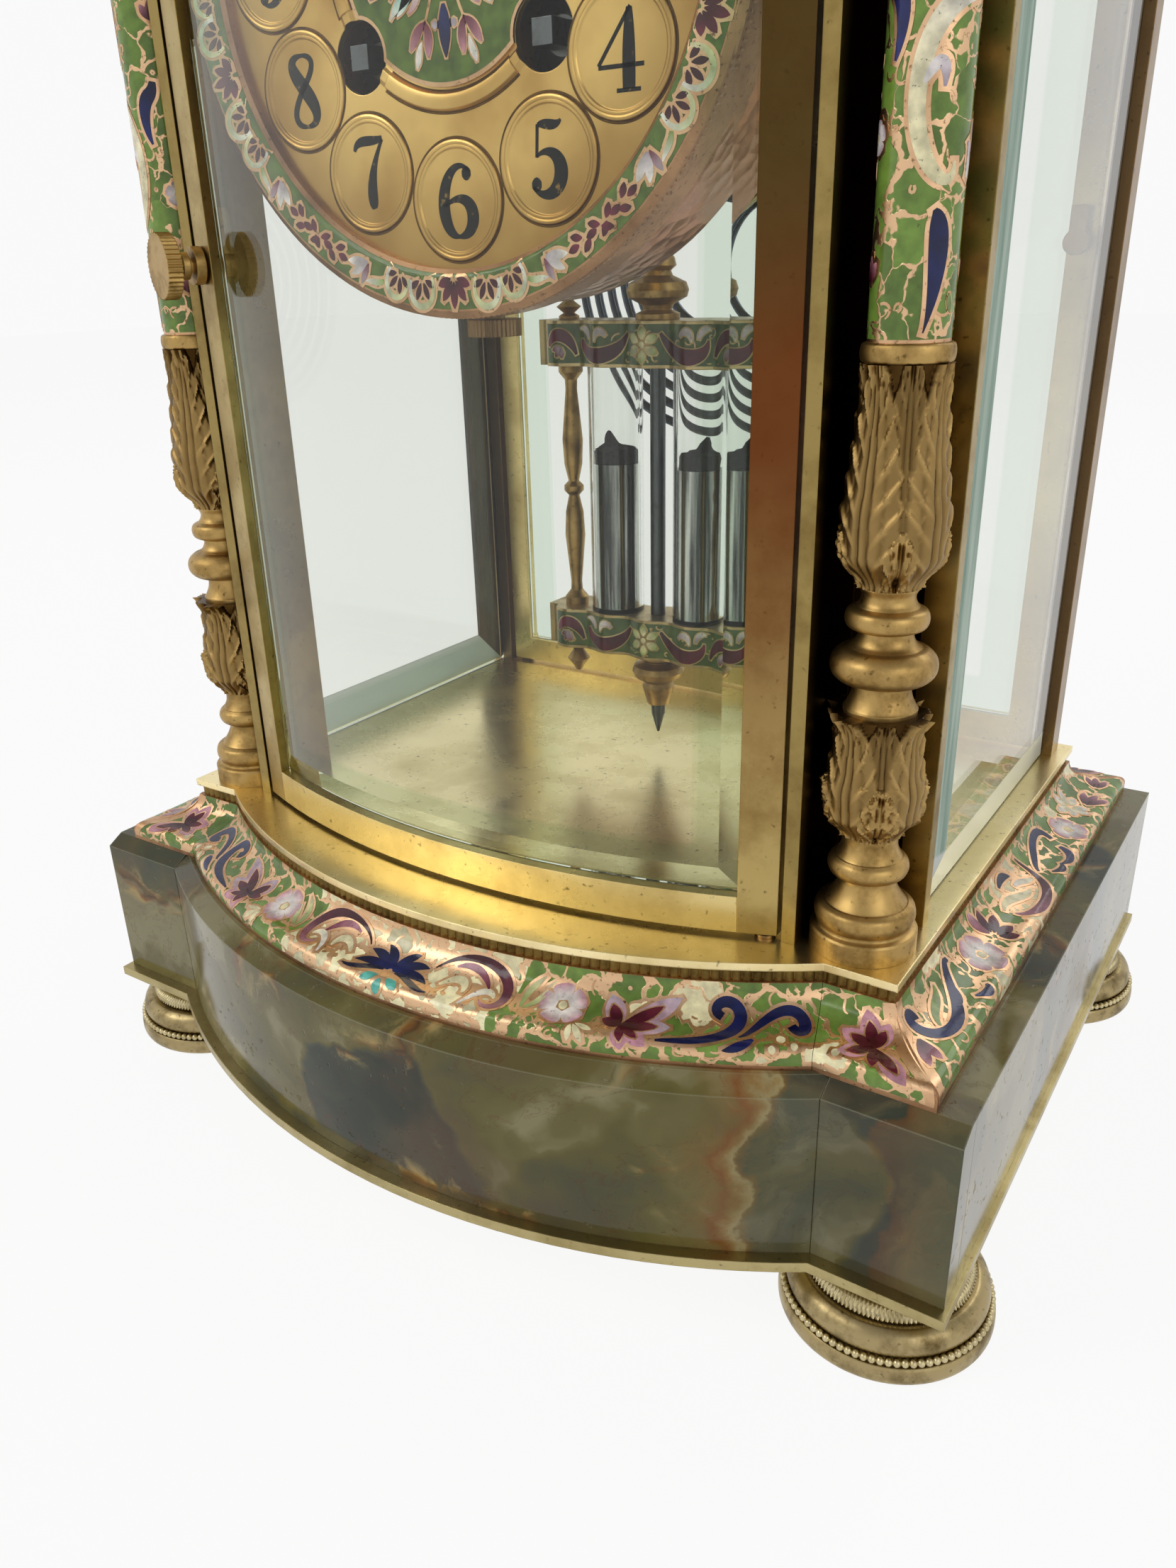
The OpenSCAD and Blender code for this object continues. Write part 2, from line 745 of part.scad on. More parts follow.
module dial_plate() {
  color("#b98f47") at_mov([0, 0]) difference() {
    union() {
      upright(dial_y, dial_t) circle(drum_r - bed_gap);
      turned_y([[medallion_r + 0.6, dial_y + lap], [medallion_r + 1.2, dial_y - 0.6],
                [medallion_r + 2.6, dial_y - 0.6], [medallion_r + 3.6, dial_y + lap]]);
      for (hour = [1:12]) rotate([0, 30 * hour, 0]) translate([0, 0, cartouche_at])
        turned_y([[cartouche_r - 1, dial_y + lap], [cartouche_r - 0.7, dial_y - cartouche_h],
                  [cartouche_r - 0.3, dial_y - cartouche_h], [cartouche_r, dial_y + lap]]);
      for (a = [30, 150, 270]) rotate([0, -a, 0]) translate([mov_r - 8, 0, 0])
        bar_y(1.5, dial_back - lap, mov_y);
    }
    upright(dial_y - 2, dial_t + 4) {
      circle(hour_pipe_r + 0.6);
      wind_holes();
    }
  }
}

module dial_medallion() {
  color("#6f9a3e") at_mov([0, 0]) upright(dial_y - 0.5, 0.5) difference() {
    circle(medallion_r);
    circle(hour_pipe_r + 0.6);
    wind_holes();
  }
}

module bezel() {
  color("#6f9a3e") at_mov([0, 0]) turned_y([
    [bezel_in_r, dial_y - 1.3], [bezel_in_r + 1.2, dial_y - 2.3], [bezel_r - 1.2, dial_y - 2.5],
    [bezel_r, dial_y - 1.7], [bezel_r, dial_back + bezel_skirt], [bezel_r - skirt_t, dial_back + bezel_skirt],
    [bezel_r - skirt_t, dial_y], [bezel_in_r, dial_y]
  ]);
}

drum_t = 1.6;
lug_h = 14;
lug_y = [mov_y, mov_y + 8];

module movement_drum() {
  lug_x = drum_r - 1.2;
  color("#b5854f") at_mov([0, 0]) {
    upright(dial_back, drum_len) difference() {
      circle(drum_r);
      circle(drum_r - drum_t);
    }
    both() translate([lug_x, lug_y[0], -lug_h / 2])
      cube([jamb_x - lug_x, lug_y[1] - lug_y[0], lug_h]);
  }
}

module drum_thumb_screw() {
  head_z = -bezel_r - 3.5;
  color("#8d7a45") translate([0, dial_back + bezel_skirt + 3, mov_z]) {
    translate([0, 0, head_z]) linear_extrude(3) polygon(knurled(5, 36));
    translate([0, 0, head_z]) cylinder(r = 2, h = -drum_r - bed_gap - head_z);
  }
}

// Clockwise from twelve, seen from the front
minute_rest = 54;
hour_rest = 304.5;

// An openwork leaf-shaped hand
module hand_plan(len, w, hole) {
  tail = w * 1.6;
  leaf = len * 0.32;
  difference() {
    union() {
      circle(hole + 2);
      translate([-0.7, 0]) square([1.4, len * 0.8]);
      polygon([[0, len], [-0.8, len * 0.8], [-w, len - leaf * 1.25], [0, len - leaf * 1.9],
               [w, len - leaf * 1.25], [0.8, len * 0.8]]);
      polygon([[-1, 0], [-w * 0.6, -tail], [0, -tail * 1.4], [w * 0.6, -tail], [1, 0]]);
    }
    circle(hole);
    translate([0, len - leaf * 1.3]) circle(w * 0.42);
  }
}

module minute_hand() {
  color("#22262a") at_mov([0, 0]) upright(minute_y, hand_t) rotate(-minute_rest)
    hand_plan(minute_len, 3, cannon_r + 0.02);
}

module hour_hand() {
  color("#22262a") at_mov([0, 0]) upright(hour_y, hand_t) rotate(-hour_rest)
    hand_plan(hour_len, 3.6, hour_pipe_r + 0.02);
}

// Movement

in_y = mov_y + mov_t;
back_y = in_y + mov_gap;
mov_end = back_y + mov_t;
pivot_small = 0.7;

// Teeth of a wheel or pinion: half widths as shares of the pitch, and heights in modules
function gear(n, m, turn) =
  let (pitch = 360 / n, share = [-0.25, -0.11, 0.11, 0.25], height = [-1.2, 0.75, 0.75, -1.2])
  [for (i = [0:n - 1], k = [0:3])
    let (a = turn + (i + share[k]) * pitch, r = m * (n / 2 + height[k])) [r * cos(a), r * sin(a)]];
function angle_to(a, b) = atan2(b[1] - a[1], b[0] - a[0]);
function mate_turn(a, b, n) = angle_to(a, b) + 180 + 180 / n;
// Where two arbors' centre distances meet, on the side given by the sign
function meet(a, ra, b, rb, side) =
  let (d = norm(b - a), u = (b - a) / d, s = (ra * ra - rb * rb + d * d) / (2 * d),
       h = sqrt(ra * ra - s * s))
  a + s * u + side * h * [-u[1], u[0]];

// Teeth and modules: each wheel drives the pinion named after it
great_n = 66;
great_m = 0.55;
inter_leaves = 12;
inter_n = 60;
inter_m = 0.5;
centre_leaves = 10;
centre_n = 84;
centre_m = 0.36;
third_leaves = 7;
third_n = 77;
third_m = 0.36;
escape_leaves = 7;
escape_n = 36;
escape_tip_r = 11;

centre_at = [0, 0];
going_at = [wind_x, -wind_z];
strike_at = [-wind_x, -wind_z];
inter_at = meet(centre_at, inter_m * (inter_n + centre_leaves) / 2,
                going_at, great_m * (great_n + inter_leaves) / 2, 1);
escape_at = [0, pallet_z - 15];
third_at = meet(centre_at, centre_m * (centre_n + third_leaves) / 2,
                escape_at, third_m * (third_n + escape_leaves) / 2, 1);
pallet_at = [0, pallet_z];
stud_r = 1.2;
cannon_n = 12;
minute_n = 36;
cannon_m = 0.6;
minute_leaves = 10;
hour_n = 40;
stud_at = [0, cannon_m * (cannon_n + minute_n) / 2];
hour_m = 2 * stud_at[1] / (minute_leaves + hour_n);
hammer_at = [-36, -20];
hammer_r = 1.5;
pallet_r = 1;

// Wheel levels behind the front plate
great_y = in_y + 2;
drum_y = great_y + 2;
drum_end = drum_y + barrel_len;
centre_y = in_y + 26.5;
inter_y = in_y + 30;
third_y = in_y + 33;
escape_y = in_y + 16;
wheel_t = 1.4;

module holes(list) {
  for (h = list) translate(h[0]) circle(h[1] + run, $fn = 32);
}

module front_plate() {
  color("#c2a95f") at_mov([0, 0]) {
    upright(mov_y, mov_t) difference() {
      circle(mov_r);
      holes([[going_at, arbor_r], [strike_at, arbor_r], [centre_at, centre_r],
             [inter_at, pivot_small], [third_at, pivot_small], [escape_at, pivot_small],
             [pallet_at, pivot_small]]);
    }
    for (a = [0, 62, 118, 180, 270]) rotate([0, -a, 0]) translate([mov_r - 4, 0, 0])
      bar_y(3, in_y - lap, back_y);
    translate([stud_at[0], 0, stud_at[1]]) bar_y(stud_r, dial_back + 0.9, mov_y + lap);
  }
}

module back_plate() {
  color("#c2a95f") at_mov([0, 0]) upright(back_y, mov_t) difference() {
    circle(mov_r);
    holes([[going_at, arbor_r], [strike_at, arbor_r], [centre_at, pivot_small],
           [inter_at, pivot_small], [third_at, pivot_small], [escape_at, pivot_small],
           [pallet_at, pallet_r], [hammer_at, hammer_r]]);
  }
}

module crossed_wheel(n, m, turn, hub) {
  rim = m * (n / 2 - 1.2) - 1.3;
  difference() {
    polygon(gear(n, m, turn));
    difference() {
      circle(rim);
      circle(hub);
      for (a = [0, 90]) rotate(a) square([2 * rim + 1, 1.6], center = true);
    }
  }
}

module arbor(r) {
  bar_y(r, in_y + shake, back_y - shake);
  bar_y(pivot_small, mov_y, mov_end);
}

ratchet_n = 24;
ratchet_r = 8;

module winding_arbor() {
  ratchet = [for (i = [0:ratchet_n - 1]) let (a = 360 * i / ratchet_n, step = 360 / ratchet_n)
    each [[ratchet_r * cos(a), ratchet_r * sin(a)],
          [(ratchet_r - 1.1) * cos(a + 0.1 * step), (ratchet_r - 1.1) * sin(a + 0.1 * step)]]];
  bar_y(arbor_r, dial_back + 4, mov_end + 1);
  upright(mov_y - wheel_t - shake, wheel_t) polygon(ratchet);
  translate([-wind_sq / 2, dial_y - 0.5, -wind_sq / 2])
    cube([wind_sq, dial_t + 5, wind_sq]);
}

module winding_arbor_going() {
  color("#4b5153") at_mov(going_at) winding_arbor();
}

module winding_arbor_strike() {
  color("#4b5153") at_mov(strike_at) winding_arbor();
}

module barrel(turn) {
  difference() {
    union() {
      upright(great_y, drum_y - great_y + lap) polygon(gear(great_n, great_m, turn));
      bar_y(barrel_r, drum_y, drum_end);
    }
    bar_y(arbor_r + run, in_y, back_y);
    translate([0, drum_y + 1.5, 0]) difference() {
      bar_y(barrel_r - 1.2, 0, drum_end - drum_y - 3);
      bar_y(arbor_r + 2, -1, drum_end);
    }
  }
}

module barrel_going() {
  color("#c7ad63") at_mov(going_at) barrel(angle_to(going_at, inter_at));
}

module barrel_strike() {
  color("#c7ad63") at_mov(strike_at) barrel(0);
}

module pinion(y0, y1, n, m, turn) {
  upright(y0, y1 - y0) polygon(gear(n, m, turn));
}

module intermediate_wheel() {
  color("#c7ad63") at_mov(inter_at) {
    arbor(1);
    pinion(great_y - 1, drum_y + 1, inter_leaves, great_m, mate_turn(going_at, inter_at, inter_leaves));
    upright(inter_y, wheel_t) crossed_wheel(inter_n, inter_m, angle_to(inter_at, centre_at), 4);
  }
}

module centre_wheel() {
  color("#c7ad63") at_mov(centre_at) {
    bar_y(centre_r, minute_y - 1.4, back_y - shake);
    bar_y(pivot_small, back_y - 1, mov_end);
    bar_y(2.4, in_y + shake, in_y + 1.4);
    pinion(inter_y - 1, inter_y + wheel_t + 0.8, centre_leaves, inter_m,
           mate_turn(inter_at, centre_at, centre_leaves));
    upright(centre_y, wheel_t) crossed_wheel(centre_n, centre_m, angle_to(centre_at, third_at), 4);
  }
}

module third_wheel() {
  color("#c7ad63") at_mov(third_at) {
    arbor(pivot_small + 0.05);
    pinion(centre_y - 1, centre_y + wheel_t + 0.8, third_leaves, centre_m,
           mate_turn(centre_at, third_at, third_leaves));
    upright(third_y, wheel_t) crossed_wheel(third_n, third_m, angle_to(third_at, escape_at), 3);
  }
}

module escape_wheel() {
  step = 360 / escape_n;
  root = escape_tip_r - 2;
  teeth = [for (i = [0:escape_n - 1]) let (a = i * step)
    each [[root * cos(a), root * sin(a)],
          [escape_tip_r * cos(a + 0.32 * step), escape_tip_r * sin(a + 0.32 * step)],
          [escape_tip_r * cos(a + 0.45 * step), escape_tip_r * sin(a + 0.45 * step)],
          [root * cos(a + 0.55 * step), root * sin(a + 0.55 * step)]]];
  color("#c7ad63") at_mov(escape_at) {
    arbor(pivot_small + 0.05);
    pinion(third_y - 0.7, third_y + wheel_t + 0.5, escape_leaves, third_m,
           mate_turn(third_at, escape_at, escape_leaves));
    upright(escape_y, wheel_t) difference() {
      polygon(teeth);
      difference() {
        circle(root - 1.3);
        circle(2.6);
        for (a = [0, 90]) rotate(a) square([2 * root, 1.4], center = true);
      }
    }
  }
}

module cannon_pinion() {
  color("#6c7072") at_mov(centre_at) difference() {
    union() {
      bar_y(cannon_r, minute_y - 0.6, mov_y - 0.6);
      pinion(mov_y - 3, mov_y - 0.8, cannon_n, cannon_m, 90);
    }
    bar_y(centre_r + run, 0, mov_end);
  }
}

module minute_wheel() {
  color("#c7ad63") at_mov(stud_at) difference() {
    union() {
      upright(mov_y - 2.6, 1.2) crossed_wheel(minute_n, cannon_m, 270 + 180 / minute_n, 4);
      pinion(dial_back + 1.7, mov_y - 2.6 + lap, minute_leaves, hour_m, 270 + 180 / minute_leaves);
    }
    bar_y(stud_r + run, 0, mov_end);
  }
}

module hour_wheel() {
  color("#c7ad63") at_mov(centre_at) difference() {
    union() {
      bar_y(hour_pipe_r, hour_y - 0.4, dial_back + 4.4);
      upright(dial_back + 2.3, wheel_t) crossed_wheel(hour_n, hour_m, 90, 5);
    }
    bar_y(cannon_r + run, 0, mov_end);
  }
}

// Escapement and suspension

crutch_y = mov_end + 4;
crutch_len = 40;
fork_in = rod_r + 0.4;

module pallets() {
  drop = escape_at[1] - pallet_at[1];
  nib_r = escape_tip_r + 1;
  color("#565b5d") at_mov(pallet_at) {
    bar_y(pallet_r, in_y + shake, crutch_y + 2);
    bar_y(pivot_small, mov_y, in_y + 1);
    upright(escape_y, wheel_t) {
      circle(2.6);
      difference() {
        translate([0, drop]) intersection() {
          difference() {
            circle(nib_r + 2.6);
            circle(nib_r);
          }
          polygon([[0, 0], [16, 12], [16, 20], [-16, 20], [-16, 12]]);
        }
        circle(0.5);
      }
    }
    translate([-1.5, crutch_y, -crutch_len]) cube([3, 2, crutch_len]);
    translate([0, 0, -crutch_len]) linear_extrude(4) polygon([
      [-fork_in - 2, crutch_y], [fork_in + 2, crutch_y], [fork_in + 2, pend_y + 4],
      [fork_in, pend_y + 4], [fork_in, pend_y - 4], [-fork_in, pend_y - 4], [-fork_in, pend_y + 4],
      [-fork_in - 2, pend_y + 4]
    ]);
  }
}

module suspension_cock() {
  color("#b09a5c") at_mov(pallet_at) {
    translate([-9, mov_end, 2]) cube([18, 3, mov_r - pallet_z - 2]);
    translate([-3.5, mov_end, 3]) cube([7, pend_y + 4 - mov_end, 6]);
    translate([-4.5, pend_y - 4, 0.3]) cube([9, 8, 8.7]);
  }
}

// Pendulum

low_bar_z = floor_z + bar_z;
vial_z = low_bar_z + bar_h;
high_bar_z = vial_z + vial_len;
finial_z = high_bar_z + bar_h;
hang_z = mov_z + pallet_z;
tip_z = floor_z + 5.4;
vial_wall = 0.8;
bar_half_d = 6.4;
nut_h = 13;

module at_pend(x, z) {
  translate([x, pend_y, z]) children();
}

module pendulum_rod() {
  color("#3b4142") at_pend(0, 0) {
    rotate_extrude() polygon([[0, tip_z], [0.3, tip_z], [1.7, tip_z + 5], [rod_r, tip_z + 8],
                              [rod_r, hang_z - 10], [0, hang_z - 10]]);
    translate([-4, -3, hang_z - 16]) cube([8, 6, 8]);
    for (s = [-2, 2]) translate([s - 1.2, -0.2, hang_z - 9]) cube([2.4, 0.4, 9]);
  }
}

// Scalloped plan of an enamelled bar
module bar_plan() {
  function depth(x) = bar_half_d + 0.8 * cos(360 * x / vial_x) - (abs(x) > bar_x - 3 ? 2 : 0);
  xs = [for (i = [-24:24]) i * bar_x / 24];
  difference() {
    polygon(concat([for (x = xs) [x, -depth(x)]], [for (x = xs) [-x, depth(x)]]));
    circle(rod_r + run, $fn = 32);
  }
}

module pendulum_bars() {
  color("#6f9a3e") for (z = [low_bar_z, high_bar_z]) at_pend(0, z) linear_extrude(bar_h) bar_plan();
}

baluster_profile = [
  [0, 0], [2.9, 0], [2.9, 0.03], [1.5, 0.06], [1.4, 0.1], [2.5, 0.3], [2.2, 0.4], [1.3, 0.47],
  [2.4, 0.49], [2.4, 0.51], [1.3, 0.53], [2.2, 0.6], [2.5, 0.7], [1.4, 0.9], [1.5, 0.94],
  [2.9, 0.97], [2.9, 1], [0, 1]
];

module bar_finial(h) {
  rotate_extrude() polygon([[0, 0], [2.4, 0], [2.4, h * 0.15], [1.3, h * 0.3], [2.9, h * 0.6],
                            [1.4, h * 0.85], [0.8, h], [0, h]]);
}

module pendulum_balusters() {
  color("#bd9c55") {
    for (s = [-1, 1]) {
      at_pend(s * baluster_x, vial_z) rotate_extrude()
        polygon([for (p = baluster_profile) [p[0], p[1] * vial_len]]);
      at_pend(s * baluster_x, finial_z) bar_finial(4.5);
      at_pend(s * baluster_x, low_bar_z) mirror([0, 0, 1]) bar_finial(8);
    }
    at_pend(0, finial_z) rotate_extrude() polygon([
      [rod_r + run, 0], [5, 0], [5, 1.2], [3.2, 2], [3.6, 3], [6.6, 4.6], [7, 6], [6.4, 7.6], [3.4, 9],
      [3, 10], [4.2, 11], [3.8, 12.6], [2.6, 14], [rod_r + run, 14]
    ]);
  }
}

module pendulum_vials() {
  color("#dfe9e6", 0.4) for (s = [-1, 1]) at_pend(s * vial_x, vial_z) difference() {
    cylinder(r = vial_r, h = vial_len - bed_gap);
    translate([0, 0, 1]) cylinder(r = vial_r - vial_wall, h = vial_len);
  }
}

module pendulum_mercury() {
  color("#9aa0a3") for (s = [-1, 1]) at_pend(s * vial_x, vial_z + 1)
    cylinder(r = vial_r - vial_wall - bed_gap, h = mercury_h);
}

module rating_nut() {
  color("#bd9c55") at_pend(0, low_bar_z - 0.2) mirror([0, 0, 1]) rotate_extrude() polygon([
    [rod_r + run, 0], [4.6, 0], [4.6, 1], [3.4, 1.8], [6, 2.8], [6.5, 4.2], [5.8, 5.8], [3.4, 7.2],
    [4, 8.4], [3.6, 10], [2.7, nut_h], [rod_r + run, nut_h]
  ]);
}

// Gong and hammer

gong_stand_at = [30, -23.9];
gong_end_a = 42;
gong_at = gong_stand_at - gong_r * [cos(gong_end_a), sin(gong_end_a)];
gong_in_r = 12;
wire_sides = 6;
ring_per_turn = 24;
gong_rings = gong_turns * ring_per_turn;
function gong_radius(i) = gong_r - (gong_r - gong_in_r) * i / gong_rings;
function gong_angle(i) = gong_end_a + 360 * i / ring_per_turn;
function gong_point(i) = gong_radius(i) * [cos(gong_angle(i)), sin(gong_angle(i))];
gong_gap = min([for (i = [0:gong_rings], j = [i + ring_per_turn / 2:gong_rings])
                norm(gong_point(i) - gong_point(j))]) - 2 * wire_r;
echo(gong_least_gap = gong_gap);

module gong() {
  points = [for (i = [0:gong_rings], s = [0:wire_sides - 1])
    let (a = gong_angle(i), b = 360 * s / wire_sides, r = gong_radius(i) + wire_r * cos(b))
    [r * cos(a), wire_r * sin(b), r * sin(a)]];
  quads = [for (i = [0:gong_rings - 1], s = [0:wire_sides - 1])
    let (a = i * wire_sides + s, b = i * wire_sides + (s + 1) % wire_sides)
    each [[a, a + wire_sides, b], [b, a + wire_sides, b + wire_sides]]];
  caps = [[for (s = [0:wire_sides - 1]) s],
          [for (s = [wire_sides - 1:-1:0]) gong_rings * wire_sides + s]];
  color("#6d7580") at_mov(gong_at) translate([0, gong_y, 0]) polyhedron(points, concat(quads, caps));
  color("#8d7a45") at_mov(gong_stand_at) {
    bar_y(3.5, mov_end, gong_y - wire_r - 5);
    translate([-5, gong_y - wire_r - 6, -5]) cube([10, 6 - bed_gap, 10]);
  }
}

module hammer() {
  head = [-10.5, -27];
  lean = atan2(-head[0], -head[1]);
  color("#5c6265") at_mov(hammer_at) {
    bar_y(hammer_r, back_y - 4, gong_y + 1);
    rotate([0, lean, 0]) translate([-1, gong_y - 2, -norm(head)]) cube([2, 3, norm(head)]);
    translate([head[0] - 3, gong_y, head[1]]) rotate([0, 90, 0]) cylinder(r = 3.4, h = 8);
  }
}

stand() bun_feet();
stand() bottom_plate();
stand() onyx_bow_front();
stand() onyx_front_corners();
stand() onyx_walls();
stand() stone_core();
stand() base_cove_front();
stand() base_cove_sides();
stand() base_riser();
stand() platform();
stand() front_posts();
stand() rear_posts();
stand() side_glasses();
stand() column_turnings();
stand() column_leaf_cups();
stand() column_leaf_vases();
stand() column_shafts();
stand() column_capitals();
stand() top_plate();
stand() cornice_front();
stand() cornice_sides();
stand() onyx_top();
stand() door_pivots();
stand() front_door_stiles();
stand() front_door_rails();
stand() front_door_glass();
stand() front_door_knob();
stand() rear_door_frame();
stand() rear_door_glass();
stand() rear_door_knob();
stand() dial_plate();
stand() dial_medallion();
stand() bezel();
stand() movement_drum();
stand() drum_thumb_screw();
stand() front_plate();
stand() back_plate();
stand() winding_arbor_going();
stand() winding_arbor_strike();
stand() barrel_going();
stand() barrel_strike();
stand() intermediate_wheel();
stand() centre_wheel();
stand() third_wheel();
stand() escape_wheel();
stand() cannon_pinion();
stand() minute_hand();
stand() minute_wheel();
stand() hour_wheel();
stand() hour_hand();
stand() pallets();
stand() suspension_cock();
stand() pendulum_rod();
stand() pendulum_bars();
stand() pendulum_balusters();
stand() pendulum_vials();
stand() pendulum_mercury();
stand() rating_nut();
stand() gong();
stand() hammer();
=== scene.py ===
"""Crystal regulator clock: finishes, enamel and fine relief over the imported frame, studio and camera."""
import math
import random

import bmesh
import bpy
import numpy as np
from mathutils import Matrix, Vector


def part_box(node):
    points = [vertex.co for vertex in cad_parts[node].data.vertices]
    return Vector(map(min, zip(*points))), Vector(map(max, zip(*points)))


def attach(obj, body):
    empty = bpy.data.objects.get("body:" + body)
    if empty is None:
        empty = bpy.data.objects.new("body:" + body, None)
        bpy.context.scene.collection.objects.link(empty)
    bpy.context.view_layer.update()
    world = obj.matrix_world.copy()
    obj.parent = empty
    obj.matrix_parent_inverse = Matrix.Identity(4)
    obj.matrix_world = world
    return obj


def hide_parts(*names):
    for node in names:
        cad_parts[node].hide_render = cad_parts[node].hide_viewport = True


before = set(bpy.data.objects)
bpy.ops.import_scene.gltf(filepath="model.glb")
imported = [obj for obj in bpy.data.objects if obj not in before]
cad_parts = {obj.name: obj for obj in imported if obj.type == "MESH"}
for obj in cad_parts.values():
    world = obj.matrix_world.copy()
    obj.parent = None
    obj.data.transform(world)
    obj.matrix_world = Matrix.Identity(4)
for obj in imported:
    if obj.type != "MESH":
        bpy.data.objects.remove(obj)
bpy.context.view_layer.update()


# Bun feet
# Four turned brass feet, screwed up into the bottom plate. A row of beads runs round the widest rim and a
# fine slanting milled ring sits under the plate. Old satin brass, brown in its grooves.

def linear(code):
    """Linear colour of an sRGB hex value."""
    shares = [int(code[i:i + 2], 16) / 255 for i in (1, 3, 5)]
    return [s / 12.92 if s <= 0.04045 else ((s + 0.055) / 1.055) ** 2.4 for s in shares] + [1.0]


def per_mm(size):
    """Texture scale, on object coordinates in metres, of a pattern whose features are this many mm."""
    return 1000.0 / size


def feed(tree, node, sockets):
    """Sets a node's sockets, by name or number, to values or hex colours, or links nodes to them."""
    for name, value in sockets.items():
        if isinstance(value, str):
            value = linear(value)
        if isinstance(value, bpy.types.Node):
            value = next(output for output in value.outputs if output.enabled)
        if isinstance(value, bpy.types.NodeSocket):
            tree.links.new(value, node.inputs[name])
        else:
            node.inputs[name].default_value = value
    return node


def add_node(tree, kind, sockets=None, **settings):
    """Adds a shader node with its settings and its linked or constant sockets."""
    node = tree.nodes.new("ShaderNode" + kind)
    for name, value in settings.items():
        setattr(node, name, value)
    return feed(tree, node, sockets or {})


def new_material(name):
    """A node material: its tree, its main shader and the object coordinates."""
    material = bpy.data.materials.new(name)
    material.use_nodes = True
    tree = material.node_tree
    spot = add_node(tree, "TexCoord").outputs["Object"]
    return material, tree, tree.nodes["Principled BSDF"], spot


def aged_brass(name, bright, dull, roughness, cloud=14, edge=0.3, stain=0.7):
    """Lacquer-worn brass: cloudy tarnish, dark pin pits, and edges rubbed round and bright."""
    material, tree, shader, spot = new_material(name)
    clouds = add_node(tree, "TexNoise",
                      {"Vector": spot, "Scale": per_mm(cloud), "Detail": 7.0, "Roughness": 0.65})
    grit = add_node(tree, "TexNoise", {"Vector": spot, "Scale": per_mm(1.3), "Detail": 5.0})
    tarnish = add_node(tree, "MapRange",
                       {"Value": clouds, "From Min": 0.46, "From Max": 0.74, "To Max": stain})
    toned = add_node(tree, "Mix", {0: tarnish, 6: bright, 7: dull}, data_type="RGBA")
    pits = add_node(tree, "MapRange", {"Value": grit, "From Min": 0.64, "From Max": 0.76, "To Max": 0.7})
    pitted = add_node(tree, "Mix", {0: pits, 6: toned, 7: "#3a2a12"}, data_type="RGBA")
    gloss = add_node(tree, "MapRange", {"Value": clouds, "From Min": 0.3, "From Max": 0.7,
                                        "To Min": roughness - 0.06, "To Max": roughness + 0.12})
    rubbed = add_node(tree, "Bevel", {"Radius": edge / 1000}, samples=4)
    grain = add_node(tree, "Bump",
                     {"Height": grit, "Strength": 0.25, "Distance": 0.00006, "Normal": rubbed})
    feed(tree, shader, {"Base Color": pitted, "Roughness": gloss, "Normal": grain, "Metallic": 1.0})
    return material


def dress(material, *nodes):
    """Gives CAD nodes a finish."""
    for name in nodes:
        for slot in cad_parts[name].material_slots:
            slot.material = material


def box_mm(node):
    """Lowest and highest corner of a CAD node, in millimetres."""
    low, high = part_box(node)
    return np.array(low) * 1000, np.array(high) * 1000


def add_piece(name, points, faces, materials, body, slot, stands_for=(), recalculate=True):
    """A mesh piece from points in mm: it rides on a body and may stand for CAD nodes."""
    mesh = bpy.data.meshes.new(name)
    mesh.from_pydata((np.asarray(points) / 1000).tolist(), [], [list(map(int, f)) for f in faces])
    if recalculate:
        shape = bmesh.new()
        shape.from_mesh(mesh)
        bmesh.ops.recalc_face_normals(shape, faces=shape.faces)
        shape.to_mesh(mesh)
        shape.free()
    mesh.polygons.foreach_set("use_smooth", [True] * len(mesh.polygons))
    mesh.set_sharp_from_angle(angle=math.radians(38))
    for material in materials:
        mesh.materials.append(material)
    piece = bpy.data.objects.new(name, mesh)
    bpy.context.scene.collection.objects.link(piece)
    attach(piece, body)
    if stands_for:
        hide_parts(*stands_for)
    return piece


def loft(loops, wrap=False):
    """Points and faces of a skin over closed loops: capped at both ends, or wrapped last to first."""
    loops = np.asarray(loops, float)
    count, sides = loops.shape[:2]
    index = np.arange(count * sides).reshape(count, sides)
    ahead = np.roll(index, -1, axis=1)
    below, above = (index, np.roll(index, -1, axis=0)) if wrap else (index[:-1], index[1:])
    below_ahead, above_ahead = (ahead, np.roll(ahead, -1, axis=0)) if wrap else (ahead[:-1], ahead[1:])
    faces = np.stack([below, below_ahead, above_ahead, above], axis=-1).reshape(-1, 4).tolist()
    if not wrap:
        faces += [index[0, ::-1].tolist(), index[-1].tolist()]
    return loops.reshape(-1, 3), faces


def joined(parts):
    """Several (points, faces) as one."""
    points, faces, start = [], [], 0
    for part_points, part_faces in parts:
        points.append(part_points)
        faces += [[start + i for i in face] for face in part_faces]
        start += len(part_points)
    return np.concatenate(points), faces


